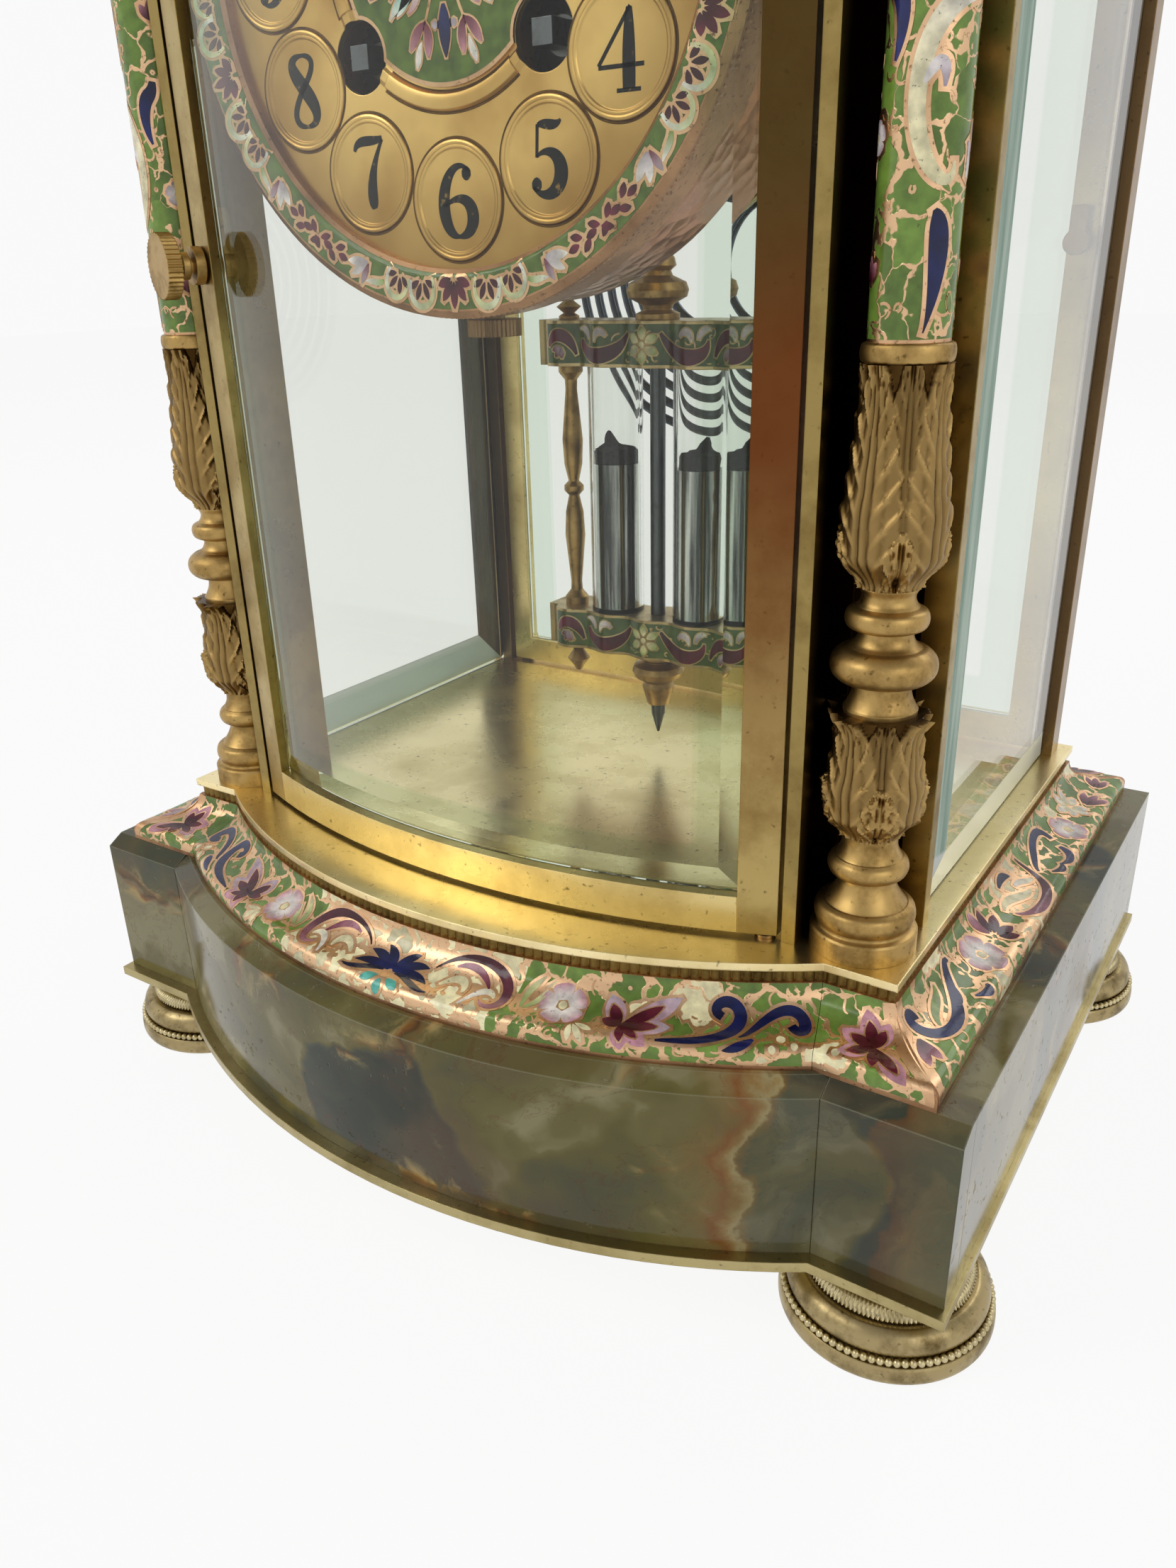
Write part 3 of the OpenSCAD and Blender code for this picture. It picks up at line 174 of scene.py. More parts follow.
def turned(profile, fine=7):
    """Smooth lathe outline through (radius, height) points; a doubled point is a sharp corner."""
    profile = np.asarray(profile, float)
    corners = [k for k in range(1, len(profile)) if np.allclose(profile[k], profile[k - 1])]
    ends = [0] + corners + [len(profile)]
    outline = []
    for first, last in zip(ends, ends[1:]):
        p = profile[first:last]
        if len(p) < 2:
            continue
        padded = np.vstack([2 * p[0] - p[1], p, 2 * p[-1] - p[-2]])
        for a, b, c, d in zip(padded, padded[1:], padded[2:], padded[3:]):
            t = np.linspace(0, 1, fine, endpoint=False)[:, None]
            outline.append(0.5 * (2 * b + (c - a) * t + (2 * a - 5 * b + 4 * c - d) * t ** 2
                                  + (3 * b - a - 3 * c + d) * t ** 3))
        outline.append(p[-1:])
    return np.concatenate(outline)


def lathe(profile, x, y, z, sides=64):
    """A turned solid on an upright axis."""
    a = np.linspace(0, 2 * math.pi, sides, endpoint=False)
    return loft([np.stack([x + r * np.cos(a), y + r * np.sin(a), np.full(sides, z + h)], axis=-1)
                 for r, h in turned(profile)])


foot_brass = aged_brass("satin_foot_brass", "#a6946a", "#4e3d1c", 0.33, cloud=6, stain=0.95)
bead_brass = aged_brass("rubbed_bead_brass", "#c9bb92", "#8a7848", 0.3, cloud=5)
foot_r = 20.5
bead_r = 0.8
bead_count = 84
bead_ring_r, bead_z = 19.45, 5.0
milled_ribs = 120
foot_profile = [(17.6, 0), (19.7, 0.2), (20.35, 1.0), (20.45, 2.2), (20.35, 3.4), (20.0, 4.1),
                (20.0, 4.1), (18.9, 4.3),
                (18.7, 5.0), (18.8, 5.7), (18.8, 5.7), (19.1, 6.2), (19.2, 7.2), (18.9, 8.4), (18.1, 9.5),
                (17.0, 10.2),
                (16.3, 10.3), (16.3, 10.3), (15.2, 10.4), (14.9, 11.2), (14.9, 11.2), (13.6, 13.2),
                (13.6, 13.2),
                (12.8, 13.6), (12.0, 14.6), (11.6, 16)]
# Radius, height and depth of the ribs round the milled ring
milled_profile = [(14.9, 10.5, 0), (15.8, 10.7, 0.1), (16.0, 11.2, 0.3), (15.6, 12.1, 0.34),
                  (14.9, 12.9, 0.3),
                  (14.2, 13.3, 0.1), (13.4, 13.2, 0), (13.4, 11, 0)]
milled_slant, milled_middle = 0.03, 12
foot_low, foot_high = box_mm("bun_feet")
foot_axes = [(sx * (foot_high[0] - foot_r), y) for sx in (-1, 1)
             for y in (foot_low[1] + foot_r, foot_high[1] - foot_r)]

bpy.ops.object.select_all(action="DESELECT")
bpy.ops.mesh.primitive_uv_sphere_add(segments=10, ring_count=6, radius=bead_r)
bead = bpy.context.object
bead_points = np.array([v.co for v in bead.data.vertices])
bead_faces = [list(p.vertices) for p in bead.data.polygons]
bpy.data.objects.remove(bead)

feet, beads, milling = [], [], []
turn = np.linspace(0, 2 * math.pi, 6 * milled_ribs, endpoint=False)
for foot_x, foot_y in foot_axes:
    feet.append(lathe(foot_profile, foot_x, foot_y, foot_low[2], 96))
    for k in range(bead_count):
        a = 2 * math.pi * k / bead_count
        middle = [foot_x + bead_ring_r * math.cos(a), foot_y + bead_ring_r * math.sin(a),
                  foot_low[2] + bead_z]
        beads.append((bead_points + middle, bead_faces))
    rings = []
    for radius, height, rise in milled_profile:
        r = radius + rise * np.cos(milled_ribs * (turn - milled_slant * (height - milled_middle)))
        z = foot_low[2] + height + 0.5 * rise * np.cos(milled_ribs * turn)
        rings.append(np.stack([foot_x + r * np.cos(turn), foot_y + r * np.sin(turn), z], axis=-1))
    milling.append(loft(rings, wrap=True))
add_piece("turned_feet", *joined(feet), [foot_brass], "case", "satin_brass", stands_for=["bun_feet"])
add_piece("foot_beads", *joined(beads), [bead_brass], "case", "satin_brass")
add_piece("foot_milled_rings", *joined(milling), [bead_brass], "case", "satin_brass")


# Bottom plate
# Flat rolled brass sheet, sawn to the bowed outline, whose edge shows all round under the stone.

plate_brass = aged_brass("rolled_sheet_brass", "#b3a474", "#7d6b3c", 0.3)
dress(plate_brass, "bottom_plate")


# Onyx base and top
# Slabs of green onyx marble, sawn, bedded on a core and polished. Cloudy grey-green with broken angular
# patches, tan and cream flows, and fine rusty veins.

flame_x, flame_rag = (0.067, 0.121), 0.022
front_y, base_top_z = (-0.052, -0.06), 0.1


def bend(tree, spot, size, detail, reach):
    """Coordinates pulled about by noise: its features in mm and its reach in metres."""
    drift = add_node(tree, "TexNoise", {"Vector": spot, "Scale": per_mm(size), "Detail": detail})
    pull = add_node(tree, "VectorMath",
                    {0: drift.outputs["Color"], 1: (0.5, 0.5, 0.5)}, operation="SUBTRACT")
    pulled = add_node(tree, "VectorMath", {0: pull, "Scale": reach}, operation="SCALE")
    return add_node(tree, "VectorMath", {0: spot, 1: pulled}, operation="ADD")


def polished_onyx(name):
    """Polished onyx: clouded patches with burnt seams, rusty veins, a flame of tan and rust that crosses
    the front beside its right joint, small pits, and a painted highlight, a pale line along each upper
    edge."""
    material, tree, shader, spot = new_material(name)
    bent = bend(tree, bend(tree, spot, 45, 4.0, 0.03), 9, 4.0, 0.006)
    patches = add_node(tree, "TexVoronoi",
                       {"Vector": bent, "Scale": per_mm(38), "Smoothness": 0.12}, feature="SMOOTH_F1")
    seams = add_node(tree, "TexVoronoi",
                     {"Vector": bent, "Scale": per_mm(38)}, feature="DISTANCE_TO_EDGE")
    chance_of = add_node(tree, "SeparateColor", {0: patches.outputs["Color"]})
    clouds = add_node(tree, "TexNoise",
                      {"Vector": bent, "Scale": per_mm(24), "Detail": 3.5, "Roughness": 0.5})
    flows = add_node(tree, "TexNoise", {"Vector": bent, "Scale": per_mm(30), "Detail": 9.0,
                                        "Roughness": 0.65, "Distortion": 0.8})
    spread = add_node(tree, "MapRange",
                      {"Value": clouds, "From Min": 0.3, "From Max": 0.7, "To Min": -0.3, "To Max": 0.3})
    tone = add_node(tree, "Math", {0: chance_of, 1: spread}, operation="ADD", use_clamp=True)
    body = add_node(tree, "ValToRGB", {0: tone})
    shades = body.color_ramp.elements
    shades[0].color, shades[1].color = linear("#33382d"), linear("#8b8460")
    for at, code in ((0.3, "#444837"), (0.5, "#535134"), (0.7, "#635c2f"), (0.88, "#6f673b")):
        shades.new(at).color = linear(code)
    rim = add_node(tree, "ValToRGB", {0: seams.outputs["Distance"]})
    flame = rim.color_ramp.elements
    flame[0].color, flame[1].color = linear("#4d3116"), linear("#a59663")
    flame[1].position = 0.12
    flame.new(0.035).color = linear("#80521f")
    flame.new(0.07).color = linear("#b79a60")
    reach = add_node(tree, "MapRange", {"Value": seams.outputs["Distance"], "From Min": 0.06,
                                        "From Max": 0.17, "To Min": 1.0, "To Max": 0.0})
    where = add_node(tree, "MapRange",
                     {"Value": flows, "From Min": 0.53, "From Max": 0.62, "To Max": 0.9})
    amber = add_node(tree, "Math", {0: reach, 1: where}, operation="MULTIPLY")
    haze = add_node(tree, "TexNoise", {"Vector": bent, "Scale": per_mm(34), "Detail": 3.0})
    blush = add_node(tree, "MapRange", {"Value": haze, "From Min": 0.5, "From Max": 0.68, "To Max": 0.55})
    veiled = add_node(tree, "Mix", {0: blush, 6: body, 7: "#64503d"}, data_type="RGBA")
    warm = add_node(tree, "Mix", {0: amber, 6: veiled, 7: rim}, data_type="RGBA")
    off = add_node(tree, "Math", {0: flows, 1: 0.5}, operation="SUBTRACT")
    near = add_node(tree, "Math", {0: off}, operation="ABSOLUTE")
    vein = add_node(tree, "MapRange", {"Value": near, "From Max": 0.008, "To Min": 0.45, "To Max": 0.0})
    rusty = add_node(tree, "Mix", {0: vein, 6: warm, 7: "#5b3519"}, data_type="RGBA")
    ragged = add_node(tree, "TexNoise",
                      {"Vector": spot, "Scale": per_mm(14), "Detail": 5.0, "Roughness": 0.52})
    place = add_node(tree, "SeparateXYZ", {0: spot})
    along = add_node(tree, "Math",
                     {0: ragged, 1: flame_rag, 2: place.outputs["X"]}, operation="MULTIPLY_ADD")
    share = add_node(tree, "MapRange", {"Value": along, "From Min": flame_x[0], "From Max": flame_x[1]})
    blaze = add_node(tree, "ValToRGB", {0: share})
    stops = blaze.color_ramp.elements
    stops[0].color, stops[1].color = (*linear("#6a6136")[:3], 0), (*linear("#75704c")[:3], 0.6)
    for at, code, cover in ((0.11, "#77693a", 0.45), (0.2, "#8a6a38", 0.65), (0.25, "#844d1f", 0.9),
                            (0.285, "#94703c", 0.85), (0.315, "#aa9a6c", 0.85), (0.33, "#74582f", 0.85),
                            (0.36, "#40463b", 0.8), (0.73, "#3a4037", 0.75), (0.75, "#6d4a2a", 0.85),
                            (0.82, "#7c6640", 0.85)):
        stops.new(at).color = (*linear(code)[:3], cover)
    facing = add_node(tree, "MapRange",
                      {"Value": place.outputs["Y"], "From Min": front_y[0], "From Max": front_y[1]})
    lower = add_node(tree, "Math", {0: place.outputs["Z"], 1: base_top_z}, operation="LESS_THAN")
    front = add_node(tree, "Math", {0: facing, 1: lower}, operation="MULTIPLY")
    cover = add_node(tree, "Math", {0: front, 1: blaze.outputs[1]}, operation="MULTIPLY")
    patchy = add_node(tree, "MapRange",
                      {"Value": flows, "From Min": 0.4, "From Max": 0.58, "To Min": 0.4})
    burnt = add_node(tree, "Math", {0: cover, 1: patchy}, operation="MULTIPLY")
    flamed = add_node(tree, "Mix", {0: burnt, 6: rusty, 7: blaze}, data_type="RGBA")
    polish = add_node(tree, "MapRange",
                      {"Value": clouds, "From Min": 0.3, "From Max": 0.7, "To Min": 0.06, "To Max": 0.18})
    specks = add_node(tree, "TexNoise", {"Vector": spot, "Scale": per_mm(1.8), "Detail": 3.0})
    pits = add_node(tree, "MapRange",
                    {"Value": specks, "From Min": 0.66, "From Max": 0.72, "To Min": 1.0, "To Max": 0.0})
    eased = add_node(tree, "Bevel", {"Radius": 0.0004}, samples=4)
    pitted = add_node(tree, "Bump",
                      {"Height": pits, "Strength": 0.5, "Distance": 0.0002, "Normal": eased})
    # Painted highlight: a pale line mixed into the colour along each edge whose eased normal tilts upwards
    flat = add_node(tree, "NewGeometry").outputs["True Normal"]
    round_off = add_node(tree, "VectorMath", {0: eased, 1: flat}, operation="DOT_PRODUCT")
    arris = add_node(tree, "MapRange", {"Value": round_off.outputs["Value"], "From Min": 0.99,
                                        "From Max": 0.95, "To Max": 0.45})
    rise = add_node(tree, "SeparateXYZ", {0: eased})
    tilted = add_node(tree, "MapRange", {"Value": rise.outputs["Z"], "From Min": 0.05, "From Max": 0.15})
    line = add_node(tree, "Math", {0: arris, 1: tilted}, operation="MULTIPLY")
    wear_and_highlight = add_node(tree, "Mix", {0: line, 6: flamed, 7: "#b9b79a"}, data_type="RGBA")
    feed(tree, shader, {"Base Color": wear_and_highlight, "Roughness": polish, "Normal": pitted, "IOR": 1.5,
                        "Specular IOR Level": 0.25})
    return material


dress(polished_onyx("polished_green_onyx"),
      "onyx_bow_front", "onyx_front_corners", "onyx_walls", "onyx_top")
dress(aged_brass("plaster_bedding", "#a9a496", "#7d786c", 0.7), "stone_core")


# Risers
# The step between an enamelled moulding and its plate: brass strip rolled into fine upright reeds, bent
# round the bow and soldered at the corners. Nearly black brown in the grooves.

reed_pitch = 1.9
reed_rise = 0.5
reed_sink, reed_back = 0.05, 0.6
bow_r = 151.0
cove_w = 13.0
cove_low, cove_high = box_mm("base_cove_front")
bow_y = cove_low[1] + bow_r
riser_low, riser_high = box_mm("base_riser")
riser_half = riser_high[0]
riser_r = bow_y - riser_low[1]
corner_y = box_mm("base_cove_sides")[0][1] - 0.1
riser_front = corner_y + cove_w + 0.1


def riser_outline():
    """Evenly spaced points round the riser's plan, their outward normals, and the reeds' swell there."""
    reach = math.asin(math.sqrt(riser_r ** 2 - (bow_y - riser_front) ** 2) / riser_r)
    bow = [(riser_r * math.sin(a), bow_y - riser_r * math.cos(a))
           for a in np.linspace(-reach, reach, 160)]
    corners = [(riser_half, riser_front), (riser_half, riser_high[1]),
               (-riser_half, riser_high[1]), (-riser_half, riser_front)]
    path = np.array(bow + corners + bow[:1])
    run = np.r_[0, np.cumsum(np.linalg.norm(np.diff(path, axis=0), axis=1))]
    reeds = round(run[-1] / reed_pitch)
    s = np.linspace(0, run[-1], reeds * 8, endpoint=False)
    points = np.stack([np.interp(s, run, path[:, k]) for k in (0, 1)], axis=-1)
    along = np.roll(points, -1, axis=0) - np.roll(points, 1, axis=0)
    along /= np.linalg.norm(along, axis=1)[:, None]
    swell = np.abs(np.sin(math.pi * s / run[-1] * reeds))
    return points, np.stack([along[:, 1], -along[:, 0]], axis=-1), swell


def reeded_band(z0, z1):
    """A strip of upright reeds between two heights."""
    points, out, swell = riser_outline()
    reeds = reed_rise * swell - reed_sink
    back = np.full_like(swell, -reed_back)
    return loft([np.c_[points + out * offset[:, None], np.full(len(points), z)]
                 for offset, z in ((reeds, z0), (reeds, z1), (back, z1), (back, z0))], wrap=True)


reed_brass = aged_brass("grooved_dark_brass", "#8a7440", "#33260f", 0.42, cloud=6, stain=0.95)
dress(reed_brass, "base_riser")
platform_low, platform_high = box_mm("platform")
top_low = box_mm("top_plate")[0]
cornice_low, cornice_high = box_mm("cornice_front")
plate_t = platform_high[2] - platform_low[2]
bands = [reeded_band(cove_high[2] - 0.5, platform_low[2]),
         reeded_band(top_low[2] + plate_t, cornice_low[2] + 0.5)]
add_piece("riser_reeds", *joined(bands), [reed_brass], "case", "satin_brass")


# Enamelled mouldings
# Copper coves, cast in runs with mitred corners, whose cells are filled with coloured glass enamel and
# ground flush, so that bare pinkish copper outlines every leaf. The base and the cornice each have a set.

GREEN, LIME, CREAM, WHITE = "#6a8738", "#8ba352", "#ece3b6", "#efe9e2"
MAROON, WINE, PINK, LILAC = "#3f0a17", "#74213a", "#cb92a0", "#b9aab6"
NAVY, BLUE, TURQUOISE, COPPER = "#0a0f36", "#172466", "#5cb8a8", "#d8a680"
MOSS, OLIVE = "#5b722c", "#4f6230"
slab_t = 0.12
copper_line = 0.65
cell_size = 6.4


def sooty_grit(tree, spot):
    """Fine grit of worn copper, and the soot and polish left in its pits."""
    grit = add_node(tree, "TexNoise",
                    {"Vector": spot, "Scale": per_mm(0.9), "Detail": 6.0, "Roughness": 0.7})
    soot = add_node(tree, "MapRange", {"Value": grit, "From Min": 0.57, "From Max": 0.68, "To Max": 0.85})
    return grit, soot


def bare_copper(name, bright, dull, roughness):
    """Polished cell walls: pinkish copper with soot and polish left in its pits."""
    material, tree, shader, spot = new_material(name)
    clouds = add_node(tree, "TexNoise", {"Vector": spot, "Scale": per_mm(9), "Detail": 6.0})
    grit, soot = sooty_grit(tree, spot)
    age = add_node(tree, "MapRange", {"Value": clouds, "From Min": 0.42, "From Max": 0.72, "To Max": 0.7})
    toned = add_node(tree, "Mix", {0: age, 6: bright, 7: dull}, data_type="RGBA")
    pitted = add_node(tree, "Mix", {0: soot, 6: toned, 7: "#4a2d1c"}, data_type="RGBA")
    dents = add_node(tree, "Bump", {"Height": grit, "Strength": 0.3, "Distance": 0.0001})
    feed(tree, shader, {"Base Color": pitted, "Normal": dents, "Metallic": 1.0, "Roughness": roughness})
    return material


def fired_enamel(name):
    """Glassy enamel: each cell's own tint, streaked where the powder ran, with pin holes and a polish."""
    material, tree, shader, spot = new_material(name)
    tint = add_node(tree, "Attribute", attribute_name="tint")
    streak = add_node(tree, "TexNoise", {"Vector": spot, "Scale": per_mm(2.6), "Detail": 5.0})
    holes = add_node(tree, "TexNoise", {"Vector": spot, "Scale": per_mm(0.7), "Detail": 3.0})
    value = add_node(tree, "MapRange",
                     {"Value": streak, "From Min": 0.3, "From Max": 0.7, "To Min": 0.62, "To Max": 1.3})
    ran = add_node(tree, "HueSaturation", {"Value": value, "Color": tint.outputs["Color"]})
    dark = add_node(tree, "MapRange",
                    {"Value": holes, "From Min": 0.66, "From Max": 0.74, "To Max": 0.75})
    pitted = add_node(tree, "Mix", {0: dark, 6: ran, 7: "#2a2014"}, data_type="RGBA")
    ripple = add_node(tree, "Bump", {"Height": streak, "Strength": 0.35, "Distance": 0.0002})
    feed(tree, shader, {"Base Color": pitted, "Normal": ripple, "Roughness": 0.14, "IOR": 1.52,
                        "Specular IOR Level": 0.4})
    return material


def celled_ground(name):
    """Leaf-like enamel cells in a web of bare copper. The tint's alpha is the share of cream cells."""
    material, tree, shader, spot = new_material(name)
    tint = add_node(tree, "Attribute", attribute_name="tint")
    bent = bend(tree, spot, 3.6, 2.5, 0.0056)
    cells = add_node(tree, "TexVoronoi", {"Vector": bent, "Scale": per_mm(cell_size)})
    edges = add_node(tree, "TexVoronoi",
                     {"Vector": bent, "Scale": per_mm(cell_size)}, feature="DISTANCE_TO_EDGE")
    chance_of = add_node(tree, "SeparateColor", {0: cells.outputs["Color"]})
    pick = add_node(tree, "Math", {0: chance_of, 1: tint.outputs["Alpha"]}, operation="LESS_THAN")
    glass = add_node(tree, "Mix", {0: pick, 6: tint.outputs["Color"], 7: CREAM}, data_type="RGBA")
    value = add_node(tree, "MapRange", {"Value": chance_of.outputs[1], "To Min": 0.75, "To Max": 1.22})
    mottle = add_node(tree, "TexNoise", {"Vector": spot, "Scale": per_mm(2.4), "Detail": 4.0})
    blotch = add_node(tree, "MapRange",
                      {"Value": mottle, "From Min": 0.3, "From Max": 0.7, "To Min": 0.75, "To Max": 1.25})
    depth = add_node(tree, "Math", {0: value, 1: blotch}, operation="MULTIPLY")
    ran = add_node(tree, "HueSaturation", {"Value": depth, "Color": glass})
    swell = add_node(tree, "TexNoise", {"Vector": spot, "Scale": per_mm(5), "Detail": 2.0})
    uneven = add_node(tree, "MapRange",
                      {"Value": swell, "From Min": 0.3, "From Max": 0.7, "To Min": 0.04, "To Max": -0.07})
    room = add_node(tree, "Math", {0: edges.outputs["Distance"], 1: uneven}, operation="ADD")
    gap = add_node(tree, "Math", {0: tint.outputs["Alpha"], 1: -0.05, 2: room}, operation="MULTIPLY_ADD")
    wall = add_node(tree, "MapRange",
                    {"Value": gap, "From Min": 0.045, "From Max": 0.065, "To Min": 1.0, "To Max": 0.0})
    grit, soot = sooty_grit(tree, spot)
    metal = add_node(tree, "Mix", {0: soot, 6: "#dcb68e", 7: "#4a2d1c"}, data_type="RGBA")
    holes = add_node(tree, "MapRange", {"Value": grit, "From Min": 0.66, "From Max": 0.73, "To Max": 0.8})
    holed = add_node(tree, "Mix", {0: holes, 6: ran, 7: "#241c10"}, data_type="RGBA")
    colour = add_node(tree, "Mix", {0: wall, 6: holed, 7: metal}, data_type="RGBA")
    gloss = add_node(tree, "MapRange", {"Value": wall, "To Min": 0.15, "To Max": 0.34})
    raised = add_node(tree, "Bump", {"Height": wall, "Strength": 0.5, "Distance": 0.0001})
    feed(tree, shader, {"Base Color": colour, "Metallic": wall, "Roughness": gloss, "Normal": raised,
                        "IOR": 1.52, "Specular IOR Level": 0.4})
    return material


copper = bare_copper("bare_cell_copper", "#ddb68f", "#a5784f", 0.34)
edge_copper = bare_copper("tarnished_edge_copper", "#bb906b", "#6b4930", 0.4)
enamel = fired_enamel("champleve_enamel")
cells = celled_ground("celled_enamel_ground")


def bezier(controls, t):
    """Smooth run through a list of control values, for paths, widths and tints alike."""
    controls = np.asarray(controls, float)
    n = len(controls) - 1
    weights = np.stack([math.comb(n, k) * t ** k * (1 - t) ** (n - k) for k in range(n + 1)], axis=-1)
    return weights @ controls


def brush(path, widths, grow=0.0):
    """Grid of points over a brush stroke: its path and half widths in mm, grown by a margin all round."""
    path = np.asarray(path, float)
    length = np.linalg.norm(np.diff(path, axis=0), axis=1).sum()
    t = np.linspace(0, 1, int(np.clip(length / 0.55, 7, 34)))
    centre = bezier(path, t)
    half = np.maximum(bezier(widths, t), 0.06) + grow
    along = np.gradient(centre, axis=0)
    along /= np.linalg.norm(along, axis=1)[:, None]
    centre[0] -= along[0] * grow
    centre[-1] += along[-1] * grow
    across = np.linspace(-1, 1, 5 if half.max() > 0.5 else 3)
    normal = np.stack([-along[:, 1], along[:, 0]], axis=-1)
    return centre[:, None, :] + normal[:, None, :] * half[:, None, None] * across[None, :, None]


class Inlay:
    """Thin closed cells of enamel and bare metal, drawn on one surface and gathered into one mesh."""

    def __init__(self, place, mirrored=False):
        self.place = place
        self.side = -1 if mirrored else 1
        self.points, self.faces, self.tints, self.finishes = [], [], [], []
        self.count = 0

    def slab(self, grid, lift, tints, finish=0):
        """One thin closed cell over a grid of places: finish 0 is enamel, 1 metal, 2 celled ground."""
        rim = np.concatenate([grid[:, 0], grid[-1, 1:], grid[-2::-1, -1], grid[0, -2:0:-1]])
        ahead = np.roll(rim, -1, axis=0)
        if self.side * np.sum(rim[:, 0] * ahead[:, 1] - rim[:, 1] * ahead[:, 0]) < 0:
            grid = grid[:, ::-1]
        rows, columns = grid.shape[:2]
        size = rows * columns
        top = np.arange(size).reshape(rows, columns) + self.count
        ring = np.concatenate([top[:, 0], top[-1, 1:], top[-2::-1, -1], top[0, -2:0:-1]])
        ring_ahead = np.roll(ring, -1)
        face = np.stack([top[:-1, :-1], top[1:, :-1], top[1:, 1:], top[:-1, 1:]], axis=-1).reshape(-1, 4)
        wall = np.stack([ring_ahead, ring, ring + size, ring_ahead + size], axis=-1)
        self.faces += [face, face[:, ::-1] + size, wall]
        u, v = grid[..., 0].ravel(), grid[..., 1].ravel()
        self.points += [self.place(u, v, lift), self.place(u, v, lift - slab_t)]
        colours = np.repeat(np.asarray(tints, float), columns, axis=0)
        self.tints += [colours, colours]
        self.finishes += [finish] * (2 * len(face) + len(wall))
        self.count += 2 * size

    def ground(self, grid, tint, cream=None):
        """Lays the ground: one plain tint, or cells among which a share is cream."""
        tints = np.array([linear(tint)] * len(grid))
        if cream is not None:
            tints[:, 3] = cream
        self.slab(grid, 0.05, tints, 0 if cream is None else 2)

    def draw(self, strokes, lift=0.15, line=copper_line):
        """Fills strokes of (tints, half widths, path), each inside a copper line."""
        for tints, widths, path in strokes:
            if line:
                outer = brush(path, widths, line)
                self.slab(outer, lift, [linear(COPPER)] * len(outer), 1)
            cell = brush(path, widths)
            shade = bezier([linear(tint) for tint in tints], np.linspace(0, 1, len(cell)))
            self.slab(cell, lift + 0.05, shade)

    def wires(self, paths, half=0.2, lift=0.1):
        """Bare copper lines on the ground."""
        for path in paths:
            line = brush(path, [half * 0.6, half * 1.2, half, half * 1.4, half])
            self.slab(line, lift, [linear(COPPER)] * len(line), 1)

    def finish(self, name, body, slot, metal=copper):
        """Makes the piece, with each cell's tint kept in its points."""
        piece = add_piece(name, np.concatenate(self.points), np.concatenate(self.faces),
                          [enamel, metal, cells], body, slot, recalculate=False)
        piece.data.polygons.foreach_set("material_index", np.array(self.finishes, np.int32))
        tint = piece.data.attributes.new("tint", "FLOAT_COLOR", "POINT")
        tint.data.foreach_set("color", np.concatenate(self.tints).astype(np.float32).ravel())
        return piece


def placed(strokes, at, turn=0.0, size=1.0, flip=1):
    """Strokes scaled, mirrored, turned by degrees and moved."""
    c, s = math.cos(math.radians(turn)), math.sin(math.radians(turn))
    spin = size * np.array([[c, -s], [s, c]])
    return [(tints, np.asarray(widths) * size, (np.asarray(path, float) * [flip, 1]) @ spin.T + at)
            for tints, widths, path in strokes]


def dot(tint, radius, at=(0, 0)):
    """A round spot of enamel."""
    u, v = at
    return [((tint,), [0.4 * radius, 1.3 * radius, 1.3 * radius, 0.4 * radius],
             [(u - 0.9 * radius, v), (u + 0.9 * radius, v)])]


def rays(tints, lengths, angles, width, start=0.0, bend=0.0):
    """Leaves or petals that fan out from a point at the given angles, bending further round at the tip."""
    strokes = []
    for length, angle in zip(lengths, angles):
        a = math.radians(angle)
        lean = math.radians(bend) * (1 if math.cos(a) < 0 else -1)
        path = [(start * math.cos(a), start * math.sin(a))]
        for share, turned in ((0.4, 0), (0.75, 0.5), (1, 1)):
            reach = start + share * (length - start)
            path.append((reach * math.cos(a + lean * turned), reach * math.sin(a + lean * turned)))
        strokes.append((tints, [0.15 * width, 1.5 * width, 1.3 * width, 0.05], path))
    return strokes


def blossom(radius, petals, heart, tip):
    """Open flower with round petals and a small ringed eye."""
    strokes = []
    for k in range(petals):
        a = math.pi / 2 + 2 * math.pi * k / petals
        ray = np.array([math.cos(a), math.sin(a)])
        widths = radius * np.array([0.2, 0.42, 0.72, 0.12])
        strokes.append(((heart, heart, tip, tip), widths,
                        [ray * radius * s for s in (0.25, 0.6, 0.95, 1.0)]))
    return strokes + dot(CREAM, 0.2 * radius)


def star(radius, petals, tints, seed, fullness=1.35):
    """Ragged flower whose pointed petals differ in length."""
    chance = random.Random(seed)
    angles = [360 * k / petals + chance.uniform(-9, 9) for k in range(petals)]
    lengths = [radius * chance.uniform(0.75, 1.05) for _ in angles]
    return rays(tints, lengths, angles, fullness * radius / petals, 0.12 * radius)


def curls(chance, count, u_span, v_span, lengths=(2.5, 6.0)):
    """Scattered curling lines, as the bare metal breaks up a ground."""
    paths = []
    for _ in range(count):
        at = np.array([chance.uniform(*u_span), chance.uniform(*v_span)])
        heading = chance.uniform(0, 2 * math.pi)
        bend = chance.choice((-1, 1)) * chance.uniform(0.5, 1.7)
        step = chance.uniform(*lengths) / 4
        path = [at]
        for _ in range(4):
            path.append(path[-1] + step * np.array([math.cos(heading), math.sin(heading)]))
            heading += bend
        path = np.array(path)
        path[:, 0] = np.clip(path[:, 0], *u_span)
        path[:, 1] = np.clip(path[:, 1], *v_span)
        paths.append(path)
    return paths


